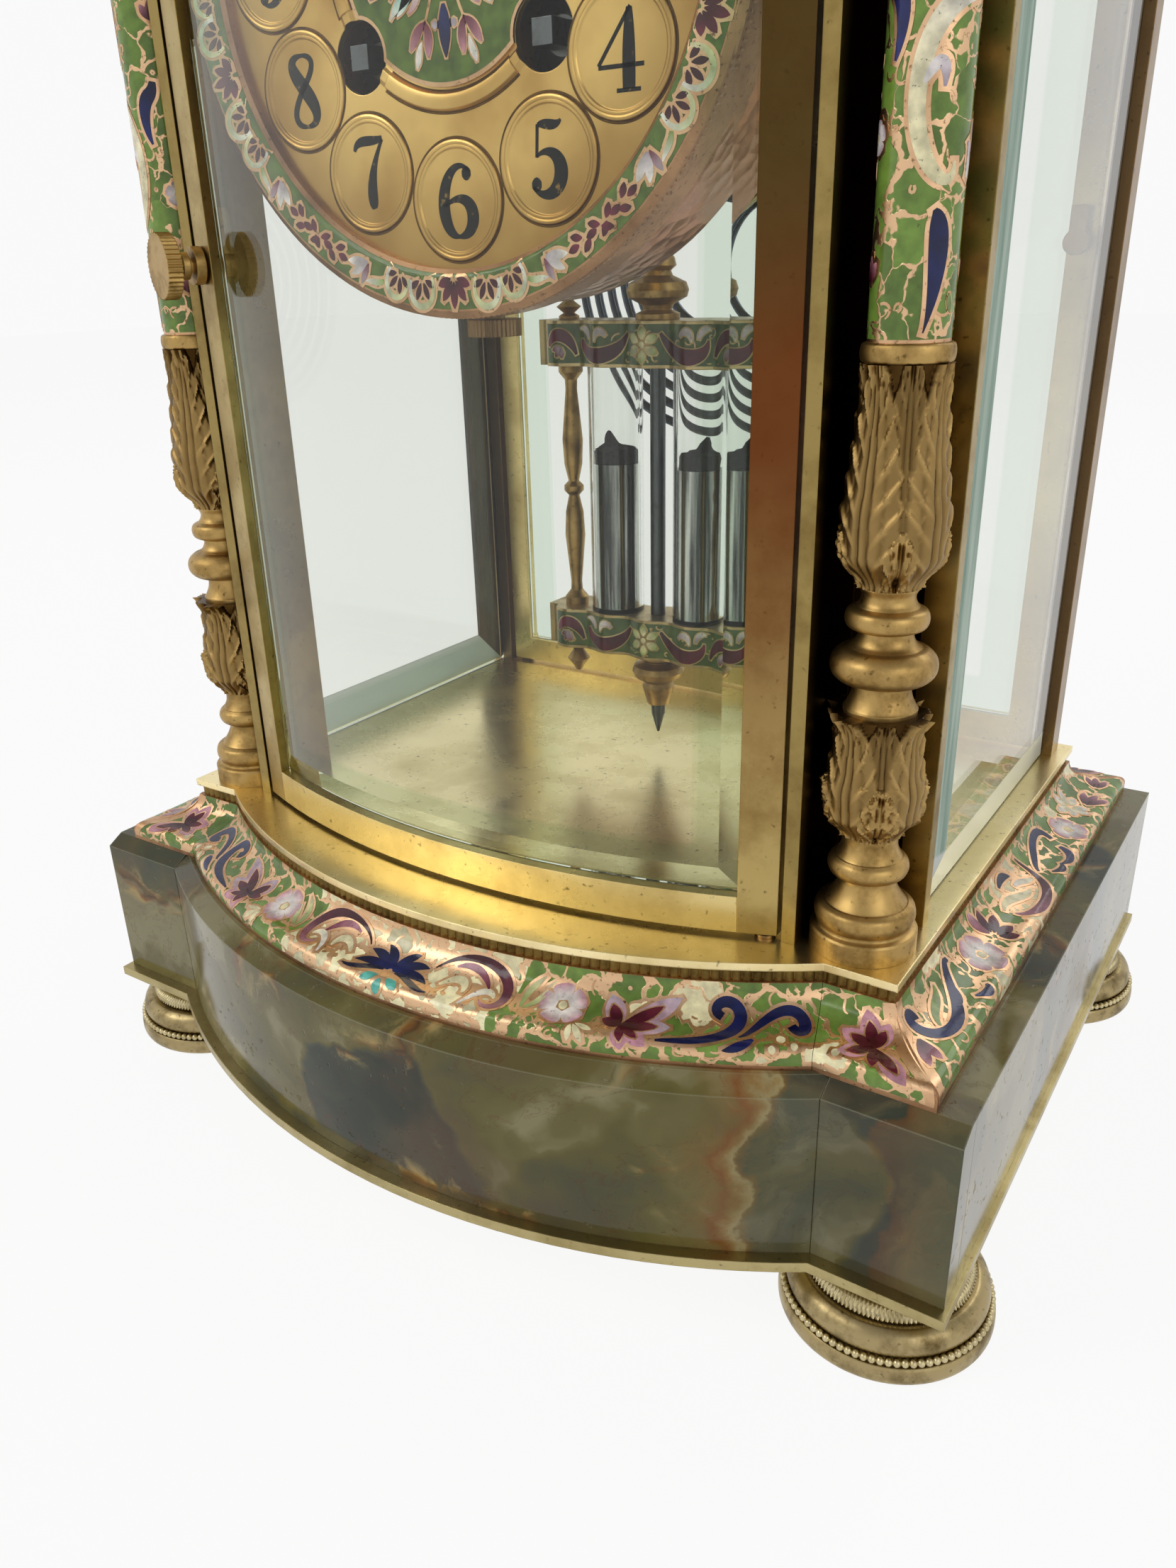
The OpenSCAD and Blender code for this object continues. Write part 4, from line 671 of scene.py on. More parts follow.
def flecks(chance, tints, count, u_span, v_span, size=1.0):
    """Small scattered leaves of another tint."""
    strokes = []
    for _ in range(count):
        at = (chance.uniform(*u_span), chance.uniform(*v_span))
        leaf = [((chance.choice(tints),), [0.1, 0.75, 0.8, 0.1],
                 [(-1.4, 0), (0, chance.uniform(-0.9, 0.9)), (1.4, 0)])]
        strokes += placed(leaf, at, chance.uniform(0, 180), size * chance.uniform(0.7, 1.3))
    return strokes


# Half of the front band, from its middle: u runs along the moulding, v up its face from the lower edge
scrolled_leaf = ((MAROON, MAROON, MAROON, WINE, PINK), [0.15, 0.5, 0.9, 1.7, 0.9, 0.8, 0.9, 0.1],
                 [(9, 12), (13, 17.5), (23, 18.5), (30.5, 15), (29, 6.5), (24, 3.5), (21.8, 7.4)])
front_half = [
    scrolled_leaf,
    ((NAVY,), [0.2, 0.9, 1.0, 0.1], [(1.5, 7.6), (5, 8), (8, 4.6), (11, 5.4)]),
    ((PINK, WINE), [0.2, 1.0, 1.0, 0.2], [(13.5, 13.5), (17, 15.2), (20.5, 14), (22.5, 10.5)]),
    ((CREAM,), [0.3, 1.1, 1.2, 0.2], [(12, 8.5), (15, 12.5), (18, 11), (17.5, 8)]),
    ((WHITE, CREAM), [0.2, 1.0, 0.9, 0.2], [(18.5, 5), (21, 11.5), (24, 10), (24.5, 8.5)]),
    ((LIME, CREAM), [0.2, 0.9, 0.9, 0.1], [(30.5, 8), (30, 12), (32, 14), (33.5, 15.5)]),
    ((LIME, CREAM), [0.2, 0.8, 0.8, 0.1], [(31, 8), (33, 9.5), (34, 11.5), (34.5, 13)]),
    *placed(blossom(4.7, 5, WHITE, PINK), (38.5, 10.3), 12),
    *placed(rays((CREAM,), (4.4, 4.8, 4), (-20, -55, -90), 0.6, 0.8), (41.5, 6.6)),
    *placed(rays((PINK, LILAC), (7.4, 13.4, 9.4), (112, 34, 6), 1.9), (50.5, 7.2)),
    *placed(rays((PINK, PINK), (6.6, 5), (-36, -80), 1.5), (50.5, 7.2)),
    ((NAVY, BLUE, NAVY), [0.2, 0.9, 1.2, 1.4, 1.2, 1.1, 1.0, 0.9],
     [(57.5, 4.6), (63, 5.2), (70, 4.6), (78, 8), (76, 17), (69, 17.5), (66, 13), (69.5, 11.5)]),
    ((NAVY, BLUE, NAVY), [0.2, 0.8, 1.1, 1.2, 1.2, 1.3, 0.9],
     [(72.5, 6.8), (76, 8), (79, 16), (86, 17.2), (87.5, 9), (84, 6), (82.3, 9.8)]),
    ((BLUE, NAVY), [0.3, 1.3, 0.9, 0.1], [(75, 6.2), (73.4, 4.8), (71.4, 3.8), (69.5, 3.6)]),
    *dot(CREAM, 0.9, (80, 6.4)), *dot(CREAM, 0.7, (82.2, 4.6)), *dot(CREAM, 0.7, (78.2, 4)),
]
front_hearts = [
    *placed(rays((MAROON, MAROON, WINE), (5.4, 9.4, 7, 3.8), (114, 36, 7, 160), 1.1), (50.5, 7.2)),
    *placed(rays((MAROON, WINE), (4.4, 3.6), (-36, -80), 0.8), (50.5, 7.2)),
]
palmette = (placed(rays((BLUE, NAVY, NAVY), (9.4, 8.6, 7.2, 7.2, 8.6, 9.4), (160, 134, 106, 74, 46, 20),
                        1.0, 0.6, 22), (0, 7.8))
            + placed(rays((TURQUOISE,), (5.4, 5, 5.4), (-148, -90, -32), 0.95, 1.6), (0, 6.6)))

# The side band, from its front mitre
side_strokes = [
    *placed(rays((MAROON, WINE, PINK), (7.4, 6.4), (220, 246), 1.0, 0.8), (11.9, 11.5)),
    ((NAVY, BLUE, NAVY, BLUE, NAVY), [0.4, 0.9, 1.2, 1.5, 1.3, 1.0, 0.9, 1.0],
     [(36, 14.2), (36, 19), (26, 3), (18, 1.4), (10, 6), (11, 18), (17, 16), (15.4, 13)]),
    ((BLUE, NAVY), [0.2, 1.2, 1.2, 0.3], [(31, 6.6), (33, 4.6), (35, 4.4), (36, 6)]),
    ((NAVY,), [0.2, 0.8, 0.7, 0.1], [(24, 8.5), (27, 7.5), (29.5, 9), (31, 11)]),
    ((LIME,), [0.3, 1.2, 1.1, 0.2], [(18, 9), (21, 12.5), (25, 11), (27, 14)]),
    *placed(blossom(5, 5, WHITE, PINK), (45, 9.6), 30),
    *placed(rays((MAROON, MAROON, WINE), (6.6, 7, 6.4, 5.4), (60, 20, -18, -50), 1.15, 1), (53.5, 9.5)),
    *placed(rays((WINE, PINK), (7.4,), (98,), 1.3, 1), (53.5, 9.5)),
    ((MAROON, MAROON, WINE, PINK), [0.3, 0.8, 1.2, 1.3, 1.0, 0.2],
     [(84, 15), (87, 8), (80, 2.5), (71, 3.6), (66, 5), (65, 8.4)]),
    ((CREAM,), [0.3, 1.3, 1.4, 0.3], [(64, 10.5), (69, 13), (73, 7.5), (77, 8.5)]),
    ((WHITE, CREAM), [0.3, 1.0, 1.0, 0.2], [(75, 11.5), (78, 12), (80, 9), (82, 9.5)]),
    ((NAVY,), [0.3, 1.3, 1.2, 0.2], [(70, 14), (73, 15.5), (75, 15), (77, 13.6)]),
    ((NAVY, BLUE, NAVY), [0.7, 1.1, 1.1, 1.0, 0.9, 0.3],
     [(103, 10.5), (105.5, 15.5), (96, 17), (93, 10), (89, 12), (86, 9)]),
    ((NAVY, BLUE), [0.3, 1.0, 1.2, 0.5], [(93, 5.5), (97, 3.4), (100, 5.4), (101, 8)]),
    ((NAVY,), [0.2, 1.1, 0.9, 0.1], [(88, 6.5), (90, 4.4), (92, 4.6), (93, 6)]),
    *placed(blossom(4.6, 5, WHITE, PINK), (111, 8.6), 8),
    *placed(star(5.4, 7, (CREAM, WHITE), 5), (123, 11)),
    *placed(rays((MAROON, WINE, PINK), (8, 8, 7), (-12, -34, 12), 1.0, 1), (127, 8.5)),
    *placed(rays((MAROON, WINE, PINK), (6, 6.4, 5.6), (-12, 14, 40), 0.9, 0.8), (139, 8)),
]


def cove_section():
    """Outline of the moulding: depth inside its outer edge and height, from the foot to the inner lip."""
    nose_h, nose_r, lip, height = 4.2, 2.1, 0.8, 10.2
    a = np.linspace(0, math.pi / 2, 13)
    foot_d = 0.6 * nose_h
    nose = np.stack([nose_r * (1 - np.cos(a)), nose_h - nose_r + nose_r * np.sin(a)], axis=-1)
    hollow = np.stack([foot_d + (cove_w - lip - foot_d) * np.sin(a),
                       height - (height - nose_h) * np.cos(a)], axis=-1)
    return np.vstack([[0, 0], nose, hollow, [cove_w, height]])


section = cove_section()
section_run = np.r_[0, np.cumsum(np.linalg.norm(np.diff(section, axis=0), axis=1))]


def on_section(v, lift):
    """Depth and height of a place on the moulding's face, lifted off it."""
    d, h = (np.interp(v, section_run, section[:, k]) for k in (0, 1))
    d0, h0 = (np.interp(v - 0.3, section_run, section[:, k]) for k in (0, 1))
    d1, h1 = (np.interp(v + 0.3, section_run, section[:, k]) for k in (0, 1))
    size = np.hypot(d1 - d0, h1 - h0)
    return d - lift * (h1 - h0) / size, h + lift * (d1 - d0) / size


half_x = cove_high[0]
rear_y = box_mm("base_cove_sides")[1][1]
valley = [math.sqrt(bow_r ** 2 - (bow_y - corner_y) ** 2),
          math.sqrt((bow_r - cove_w) ** 2 - (bow_y - corner_y - cove_w) ** 2)]


def valley_x(d):
    """Where the bow meets the straight return, at a depth inside the moulding."""
    return valley[0] + (valley[1] - valley[0]) * d / cove_w


def bow_end(d):
    """Half length of the bow, along its outer edge, at a depth inside the moulding."""
    return bow_r * np.arcsin(valley_x(d) / (bow_r - d))


# Each run: its two ends along u at a depth, and the plan position of a place on it
runs = {
    "bow": (lambda d: (-bow_end(d), bow_end(d)),
            lambda u, d: ((bow_r - d) * np.sin(u / bow_r), bow_y - (bow_r - d) * np.cos(u / bow_r))),
    "return": (lambda d: (valley_x(d) + 0.1, half_x - d), lambda u, d: (u, corner_y + d)),
    "side": (lambda d: (d + 0.1, rear_y - corner_y - d - 0.1), lambda u, d: (half_x - d, corner_y + u)),
    "back": (lambda d: (d - half_x, half_x - d), lambda u, d: (-u, rear_y - d)),
}
ground_v = (1.0, 18.2)


def run_strokes(run):
    """The drawing on one run, the dark hearts over its flowers, and the share of cream cells along it."""
    leaf_at = (89.8, 8.8)
    leaf_turns = (118, 82, 162, 212, -36, -74)
    corner = placed(rays((PINK, PINK), (8, 5.8, 7, 6.4, 9.4), leaf_turns, 1.7), leaf_at)
    corner_heart = placed(rays((MAROON, MAROON, WINE), (5.8, 4.2, 5, 4.8, 7, 4.4), leaf_turns, 1.0),
                          leaf_at)

    def cream_middle(u):
        return np.interp(np.abs(u), [24, 31], [1.0, 0.08])

    if run == "bow":
        strokes = front_half + placed(front_half, (0, 0), flip=-1) + palmette
        hearts = front_hearts + placed(front_hearts, (0, 0), flip=-1)
        return strokes, hearts, cream_middle
    if run == "return":
        return corner + dot(CREAM, 0.8, (84.3, 5)), corner_heart, lambda u: 0.04 + 0 * u
    if run == "side":
        return side_strokes, [], lambda u: np.interp(u, [58, 63, 80, 84], [0.08, 0.9, 0.9, 0.08])
    both = front_half + corner
    hearts = front_hearts + corner_heart
    strokes = both + placed(both, (0, 0), flip=-1) + palmette
    return strokes, hearts + placed(hearts, (0, 0), flip=-1), cream_middle


def moulding(run, z, up, hand):
    """Copper body and enamel of one run: up is -1 for the inverted cornice, hand is -1 on the left."""
    ends, plan = runs[run]

    def place(u, v, lift):
        d, h = on_section(v, lift)
        x, y = plan(u, d)
        return np.stack([hand * x, y, z + up * h], axis=-1)

    shares = np.linspace(0, 1, 90 if run == "bow" else 3)
    outline = np.vstack([section, [cove_w, 0]])
    low, high = ends(outline[:, 0])
    loops = []
    for share in shares:
        x, y = plan(low + share * (high - low), outline[:, 0])
        loops.append(np.stack([hand * x, y, z + up * outline[:, 1]], axis=-1))

    inlay = Inlay(place, mirrored=hand * up < 0)
    strokes, hearts, cream = run_strokes(run)
    chance = random.Random(11)
    v = np.linspace(*ground_v, 22)
    low, high = ends(on_section(v, 0)[0])
    start_gap, end_gap = {"bow": (0.02, 0.02), "return": (0.0, 1.1)}.get(run, (1.1, 1.1))
    low, high = low + start_gap, high - end_gap
    share = np.linspace(0, 1, max(8, int((high - low).mean() / 1.5)))[:, None]
    u = low + share * (high - low)
    inlay.ground(np.stack([u, np.broadcast_to(v, u.shape)], axis=-1), GREEN, cream(u.mean(axis=1)))
    if run in ("return", "side"):
        inward = on_section(v, 0)[0]
        mitre = half_x - inward - 1.2 if run == "return" else inward + 1.4
        inlay.wires([np.stack([mitre, v], axis=-1)], 1.15)
    span = (low.max() + 1, high.min() - 2)
    inlay.wires(curls(chance, int((span[1] - span[0]) * 0.5), span, (2, 17)))
    inlay.draw(strokes)
    inlay.draw(hearts, 0.24, 0.28)
    return loft(loops), inlay


def add_mouldings(name, z, up):
    """All runs of one moulding: copper bodies that stand for the CAD runs, and their enamel."""
    for part, kinds in (("front", ("bow", "return")), ("sides", ("side", "back"))):
        bodies = []
        for run in kinds:
            for hand in ((1, -1) if run in ("return", "side") else (1,)):
                body, inlay = moulding(run, z, up, hand)
                bodies.append(body)
                side = {1: "right", -1: "left"}[hand] if run in ("return", "side") else "whole"
                inlay.finish(f"{name}_{run}_{side}_enamel", "case", "champleve_enamel")
        add_piece(f"{name}_{part}_copper", *joined(bodies), [edge_copper], "case", "champleve_enamel",
                  stands_for=[f"{name}_{part}"])


add_mouldings("base_cove", cove_low[2], 1)
add_mouldings("cornice", cornice_high[2], -1)


# Platform and top plate
# Brass sheets over the risers, cut to the bowed outline with a small lip. The platform is the floor of the
# case, worn pale and cloudy.

floor_brass = aged_brass("worn_floor_brass", "#fbe9b4", "#d6c07c", 0.24, cloud=24)
dress(floor_brass, "platform", "top_plate")


# Case posts
# Brass strips screwed between the plates. The jambs are bright where the door closes on them, and painted
# # shade darkens them to a deep brown in the recess behind each column.

rear_brass = aged_brass("brown_lacquered_brass", "#8d7350", "#4b3222", 0.3, cloud=40)
dress(rear_brass, "rear_posts")
post_brass = aged_brass("post_brass_recess_shade", "#9a8550", "#5f4820", 0.3)


def laid_over(material):
    """What a further layer on a finished brass needs: tree, shader, colour so far and coordinates."""
    tree = material.node_tree
    shader = tree.nodes["Principled BSDF"]
    bright = shader.inputs["Base Color"].links[0].from_socket
    return tree, shader, bright, add_node(tree, "TexCoord").outputs["Object"]


tree, shader, bright, spot = laid_over(post_brass)
place = add_node(tree, "SeparateXYZ", {0: spot})
post_low = box_mm("front_posts")[0]
jamb_out = 70.1
glass_in = box_mm("side_glasses")[1][0] - 4.0
# Painted shade: deeper into the recess between jamb and side glass, the colour darkens to near black brown
deep = add_node(tree, "MapRange", {"Value": place.outputs["Y"], "From Min": (post_low[1] + 0.5) / 1000,
                                   "From Max": (post_low[1] + 4) / 1000})
across = add_node(tree, "Math", {0: place.outputs["X"]}, operation="ABSOLUTE")
outside = add_node(tree, "Math", {0: across, 1: (jamb_out - 0.05) / 1000}, operation="GREATER_THAN")
within = add_node(tree, "Math", {0: across, 1: (glass_in - 0.5) / 1000}, operation="LESS_THAN")
recess = add_node(tree, "Math", {0: outside, 1: within}, operation="MULTIPLY")
recess_shade = add_node(tree, "Math", {0: recess, 1: deep}, operation="MULTIPLY")
painted_shade = add_node(tree, "Mix", {0: recess_shade, 6: bright, 7: "#2a1708"}, data_type="RGBA")
feed(tree, shader, {"Base Color": painted_shade})
dress(post_brass, "front_posts")


# Glass walls
# Thick plate glass with wide ground and polished bevels, held between the posts and in the door frames.
# Clear, with a green cast that shows in the bevels.

def plate_glass(name, tint, node=None, axes=(), bevel=9.0):
    """Clear glass; over the bevels, on two axes of a pane, it looks deeper green."""
    material, tree, shader, spot = new_material(name)
    smears = add_node(tree, "TexNoise", {"Vector": spot, "Scale": per_mm(30), "Detail": 4.0})
    haze = add_node(tree, "MapRange", {"Value": smears, "From Min": 0.5, "From Max": 0.8, "To Max": 0.03})
    feed(tree, shader, {"Base Color": tint, "Roughness": haze, "IOR": 1.5,
                        "Specular Tint": (0.4, 0.4, 0.4, 1), "Transmission Weight": 1.0})
    if axes:
        low, high = box_mm(node)
        place = add_node(tree, "SeparateXYZ", {0: spot})
        near = []
        for axis in axes:
            k = "XYZ".index(axis)
            middle = 0.0 if node == "side_glasses" and axis == "X" else (low[k] + high[k]) / 2000
            half = (high[k] - low[k]) / 2000
            off = add_node(tree, "Math", {0: place.outputs[axis], 1: middle}, operation="SUBTRACT")
            size = add_node(tree, "Math", {0: off}, operation="ABSOLUTE")
            near.append(add_node(tree, "MapRange",
                                 {"Value": size, "From Min": half - bevel / 1000,
                                  "From Max": half - (bevel - 0.4) / 1000}))
        edge = add_node(tree, "Math", {0: near[0], 1: near[1]}, operation="MAXIMUM")
        deep = add_node(tree, "Mix", {0: edge, 6: tint, 7: "#dde8dc"}, data_type="RGBA")
        feed(tree, shader, {"Base Color": deep})
    ray = add_node(tree, "LightPath")
    clear = add_node(tree, "BsdfTransparent", {"Color": tint})
    mixed = add_node(tree, "MixShader", {0: ray.outputs["Is Shadow Ray"], 1: shader, 2: clear})
    feed(tree, tree.nodes["Material Output"], {"Surface": mixed})
    return material


for pane, axes in (("side_glasses", "YZ"), ("front_door_glass", "XZ"), ("rear_door_glass", "XZ")):
    dress(plate_glass(f"bevelled_{pane}", "#f1f3ef", pane, axes), pane)


def upright_streaks(tree, spot, size, detail, squeeze):
    """Noise drawn out into upright lines, changing more slowly along Z by the squeeze."""
    upright = add_node(tree, "Mapping", {"Vector": spot, "Scale": (1, 1, squeeze)})
    return add_node(tree, "TexNoise", {"Vector": upright, "Scale": per_mm(size), "Detail": detail})


pane_low, pane_high = box_mm("side_glasses")
bevel_w, bevel_d = 10.0, 1.8
rim_gap, film = 0.4, (0.01, 0.04)
# Polished bevels: pale green streaks of painted reflection, almost white along the foot
bevel_reflection_film, tree, shader, spot = new_material("green_bevel_glass_painted_reflection")
lines = upright_streaks(tree, spot, 1.6, 4.0, 0.04)
streak = add_node(tree, "MapRange", {"Value": lines, "From Min": 0.35, "From Max": 0.65})
deep = add_node(tree, "Mix", {0: streak, 6: "#8fb09d", 7: "#cfe2d2"}, data_type="RGBA")
place = add_node(tree, "SeparateXYZ", {0: spot})
foot_z = (pane_low[2] + bevel_w) / 1000
foot = add_node(tree, "MapRange",
                {"Value": place.outputs["Z"], "From Min": foot_z + 0.0005, "From Max": foot_z - 0.0005})
pale = add_node(tree, "Mix", {0: foot, 6: deep, 7: "#ecf2ec"}, data_type="RGBA")
feed(tree, shader, {"Base Color": pale, "Roughness": 0.2, "Alpha": 0.65})
# Rear bevels: a painted view through them, of the brown post behind the left pane and of the light behind
# the right
bevel_view_film, tree, shader, spot = new_material("bevel_glass_painted_post_view")
lines = upright_streaks(tree, spot, 2.4, 3.0, 0.04)
place = add_node(tree, "SeparateXYZ", {0: spot})
left = add_node(tree, "Math", {0: place.outputs["X"], 1: 0.0}, operation="LESS_THAN")
dark = add_node(tree, "Mix", {0: lines, 6: "#37251d", 7: "#6a4a3b"}, data_type="RGBA")
post_seen = add_node(tree, "Mix", {0: left, 6: "#948b84", 7: dark}, data_type="RGBA")
feed(tree, shader, {"Base Color": post_seen, "Roughness": 0.2, "Alpha": 0.9})
# Corners of a pane, and the way inwards from each
pane_corners = [(pane_low[1], pane_low[2], 1, 1), (pane_high[1], pane_low[2], -1, 1),
                (pane_high[1], pane_high[2], -1, -1), (pane_low[1], pane_high[2], 1, -1)]
x_inner = pane_high[0]
x_rim = x_inner - bevel_d * (1 - rim_gap / bevel_w)
strips, rear_strips = [], []
for hand in (1, -1):
    for k, pair in enumerate(zip(pane_corners, pane_corners[1:] + pane_corners[:1])):
        rim, inner = ([(y + inset * to_y, z + inset * to_z) for y, z, to_y, to_z in pair]
                      for inset in (rim_gap, bevel_w))
        layers = [[(hand * (x_rim + off), *rim[0]), (hand * (x_rim + off), *rim[1]),
                   (hand * (x_inner + off), *inner[1]), (hand * (x_inner + off), *inner[0])]
                  for off in film]
        (rear_strips if k == 1 else strips).append(loft(layers))
add_piece("side_glass_bevels", *joined(strips), [bevel_reflection_film], "case", "bevelled_glass")
add_piece("side_glass_rear_bevels", *joined(rear_strips), [bevel_view_film], "case", "bevelled_glass")


# Columns
# Each column is a stack on one rod: turned gilt brass knops, cast and chased leaves, a collar and an
# # enamelled copper shaft. The leaves are matt gilt, with patina and painted shade in the chasing and a
# painted
# # highlight on the high places.

turned_gilt = aged_brass("turned_gilt_brass", "#b2935a", "#6a5026", 0.4, cloud=6, stain=0.9)

column_foot = [(9.7, 0), (9.7, 3.8), (9.7, 3.8), (9.4, 4.2), (9.4, 4.2), (8.6, 4.6), (8.5, 5.1),
               (8.5, 5.1), (9.0, 6.2),
               (9.1, 7.3), (8.7, 8.6), (7.6, 9.3), (7.6, 9.3), (7.2, 9.5), (5.9, 11.4), (5.1, 13.2),
               (5.1, 14.2),
               (5.1, 14.2), (5.6, 14.5), (6.7, 15.1), (7.2, 16.4), (6.9, 17.6), (6.1, 18.4), (6.1, 18.4),
               (5.8, 18.6),
               (5.1, 20), (4.9, 21.2), (5, 22.6)]
column_knop = [(6.2, 0), (6.3, 0.9), (6.3, 0.9), (5.9, 1.4), (5.1, 3.2), (4.8, 5.2), (4.8, 5.2),
               (5.6, 5.4), (7.4, 5.9), (8.6, 7.1), (8.9, 8.6), (8.5, 10), (7.3, 11.1), (6.2, 11.5),
               (6.2, 11.5), (5.2, 12.2), (4.6, 13.4), (4.6, 14.4), (4.6, 14.4), (5.3, 14.5),
               (6.5, 15.1), (6.9, 16.4), (6.5, 17.7), (5.2, 18.4), (5.2, 18.4), (4.6, 19.2),
               (4.4, 20.3), (5, 21.6)]
column_ring = [(6.4, 0), (6.9, 0.3), (7.1, 1.1), (7.1, 1.9), (6.9, 2.7), (6.4, 3)]
ring_h, abacus_half = 3, 9.5
turning_low, turning_high = box_mm("column_turnings")
cup_box = box_mm("column_leaf_cups")
vase_box = box_mm("column_leaf_vases")
capital_box = box_mm("column_capitals")
turnings = []
shaft_low, shaft_high = box_mm("column_shafts")
shaft_r = 6.2
column_x = shaft_high[0] - shaft_r
column_y = (shaft_low[1] + shaft_high[1]) / 2
abacus_h = turning_high[2] - capital_box[1][2]
for hand in (1, -1):
    for profile, z in ((column_foot, turning_low[2]), (column_knop, cup_box[1][2]),
                       (column_ring, vase_box[1][2]),
                       (column_ring, capital_box[0][2] - ring_h)):
        turnings.append(lathe(profile, hand * column_x, column_y, z))
    square = np.array([(-1, -1), (1, -1), (1, 1), (-1, 1)]) * abacus_half
    loops = [np.c_[square * s + [hand * column_x, column_y], np.full(4, turning_high[2] - h)]
             for s, h in ((0.97, abacus_h), (1, abacus_h - 0.3), (1, 0.3), (0.97, 0))]
    turnings.append(loft(loops))
add_piece("column_turned_work", *joined(turnings), [turned_gilt], "case", "gilt_bronze",
          stands_for=["column_turnings"])


def cast_gilt(name):
    """Matt gilt bronze: brown patina and painted shade in its chasing, a painted highlight on the high
    places.
    """
    material, tree, shader, spot = new_material(name)
    relief = add_node(tree, "Attribute", attribute_name="relief")
    grain = add_node(tree, "TexNoise", {"Vector": spot, "Scale": per_mm(1.0), "Detail": 6.0})
    clouds = add_node(tree, "TexNoise", {"Vector": spot, "Scale": per_mm(7), "Detail": 4.0})
    # Relief colour: dark brown in the hollows as patina and painted shade, pale on the crests as a painted
    # highlight
    height = add_node(tree, "MapRange",
                      {"Value": relief.outputs["Fac"], "From Min": 0.1, "From Max": 0.75})
    chased = add_node(tree, "Mix", {0: height, 6: "#3f2b12", 7: "#ab8d58"}, data_type="RGBA")
    rub = add_node(tree, "MapRange",
                   {"Value": clouds, "From Min": 0.45, "From Max": 0.75, "To Max": 0.45})
    wear_and_highlight = add_node(tree, "Mix", {0: rub, 6: chased, 7: "#6f552c"}, data_type="RGBA")
    sand = add_node(tree, "Bump", {"Height": grain, "Strength": 0.35, "Distance": 0.00012})
    feed(tree, shader, {"Base Color": wear_and_highlight, "Normal": sand, "Metallic": 1.0, "Roughness": 0.44})
    return material


leaf_gilt = cast_gilt("matt_cast_gilt")


def stations(values, t):
    """Smooth steps between evenly spaced values."""
    n = len(values) - 1
    i = np.minimum(n - 1, np.floor(t * n).astype(int))
    f = t * n - i
    f = f * f * (3 - 2 * f)
    values = np.asarray(values)
    return values[i] * (1 - f) + values[i + 1] * f


tall_leaf = ((0, 0.1, 0.3, 0.52, 0.75, 1), (0.6, 0.9, 1, 0.94, 0.62, 0.1))
round_leaf = ((0, 0.2, 0.5, 0.8, 1), (0.6, 0.95, 1, 0.7, 0.05))


def leaf(around, t, axis, half_angle, span, veins, outline):
    """Height, 0 to 1, of one chased leaf: toothed outline, midrib between two cuts, veins to the edges."""
    s = np.clip((t - span[0]) / (span[1] - span[0]), 0, 1)
    teeth = 1 + 0.09 * ((veins * s) % 1 - 0.5)
    width = half_angle * np.interp(s, *outline) * teeth
    offset = (around - axis + math.pi) % (2 * math.pi) - math.pi
    across = np.abs(offset) / np.maximum(width, 0.02)
    body = np.clip((1 - across) * 5, 0, 1)
    body = body * body * (3 - 2 * body)
    cuts = 0.34 * np.exp(-((across - 0.13) / 0.06) ** 2) + 0.16 * np.exp(-((across - 0.48) / 0.06) ** 2)
    wave = np.cos(2 * math.pi * (veins * s - 1.9 * across))
    vein = (0.42 * np.clip(wave, 0, 1) ** 2 - 0.12) * np.clip(across * 3 - 0.5, 0, 1)
    eye = 0
    if outline is round_leaf:
        eye = 0.9 * np.exp(-((offset * 8) ** 2 + ((t - span[0] - 0.1) * 30) ** 2) / 0.6)
    inside = (across < 1) & (s > 0) & (s < 1)
    return np.where(inside, body * (0.7 - cuts + vein - eye), 0)


def cast_leaves(name, node, radii, rise, tiers, flare=0.0):
    """Leaf castings of both columns: rows of overlapping leaves round a turned body."""
    low, high = box_mm(node)
    sides, rows = 192, 110
    t, around = np.meshgrid(np.linspace(0, 1, rows), np.linspace(0, 2 * math.pi, sides, endpoint=False),
                            indexing="ij")
    height = np.zeros_like(t)
    for count, first, half_angle, span, veins, outline, level in tiers:
        for k in range(count):
            axis = math.radians(first) + 2 * math.pi * k / count
            height = np.maximum(height, level * leaf(around, t, axis, half_angle, span, veins, outline))
    curl = flare * np.clip((t - 0.86) / 0.14, 0, 1) ** 2
    radius = stations(radii, t) - 0.4 * rise + rise * height + curl * height
    parts, reliefs = [], []
    for hand in (1, -1):
        x = hand * column_x + hand * radius * np.cos(around)
        y = column_y + radius * np.sin(around)
        parts.append(loft(np.stack([x, y, low[2] + t * (high[2] - low[2])], axis=-1)))
        reliefs.append(height.ravel())
    piece = add_piece(name, *joined(parts), [leaf_gilt], "case", "gilt_bronze", stands_for=[node])
    relief = piece.data.attributes.new("relief", "FLOAT", "POINT")
    relief.data.foreach_set("value", np.concatenate(reliefs).astype(np.float32))


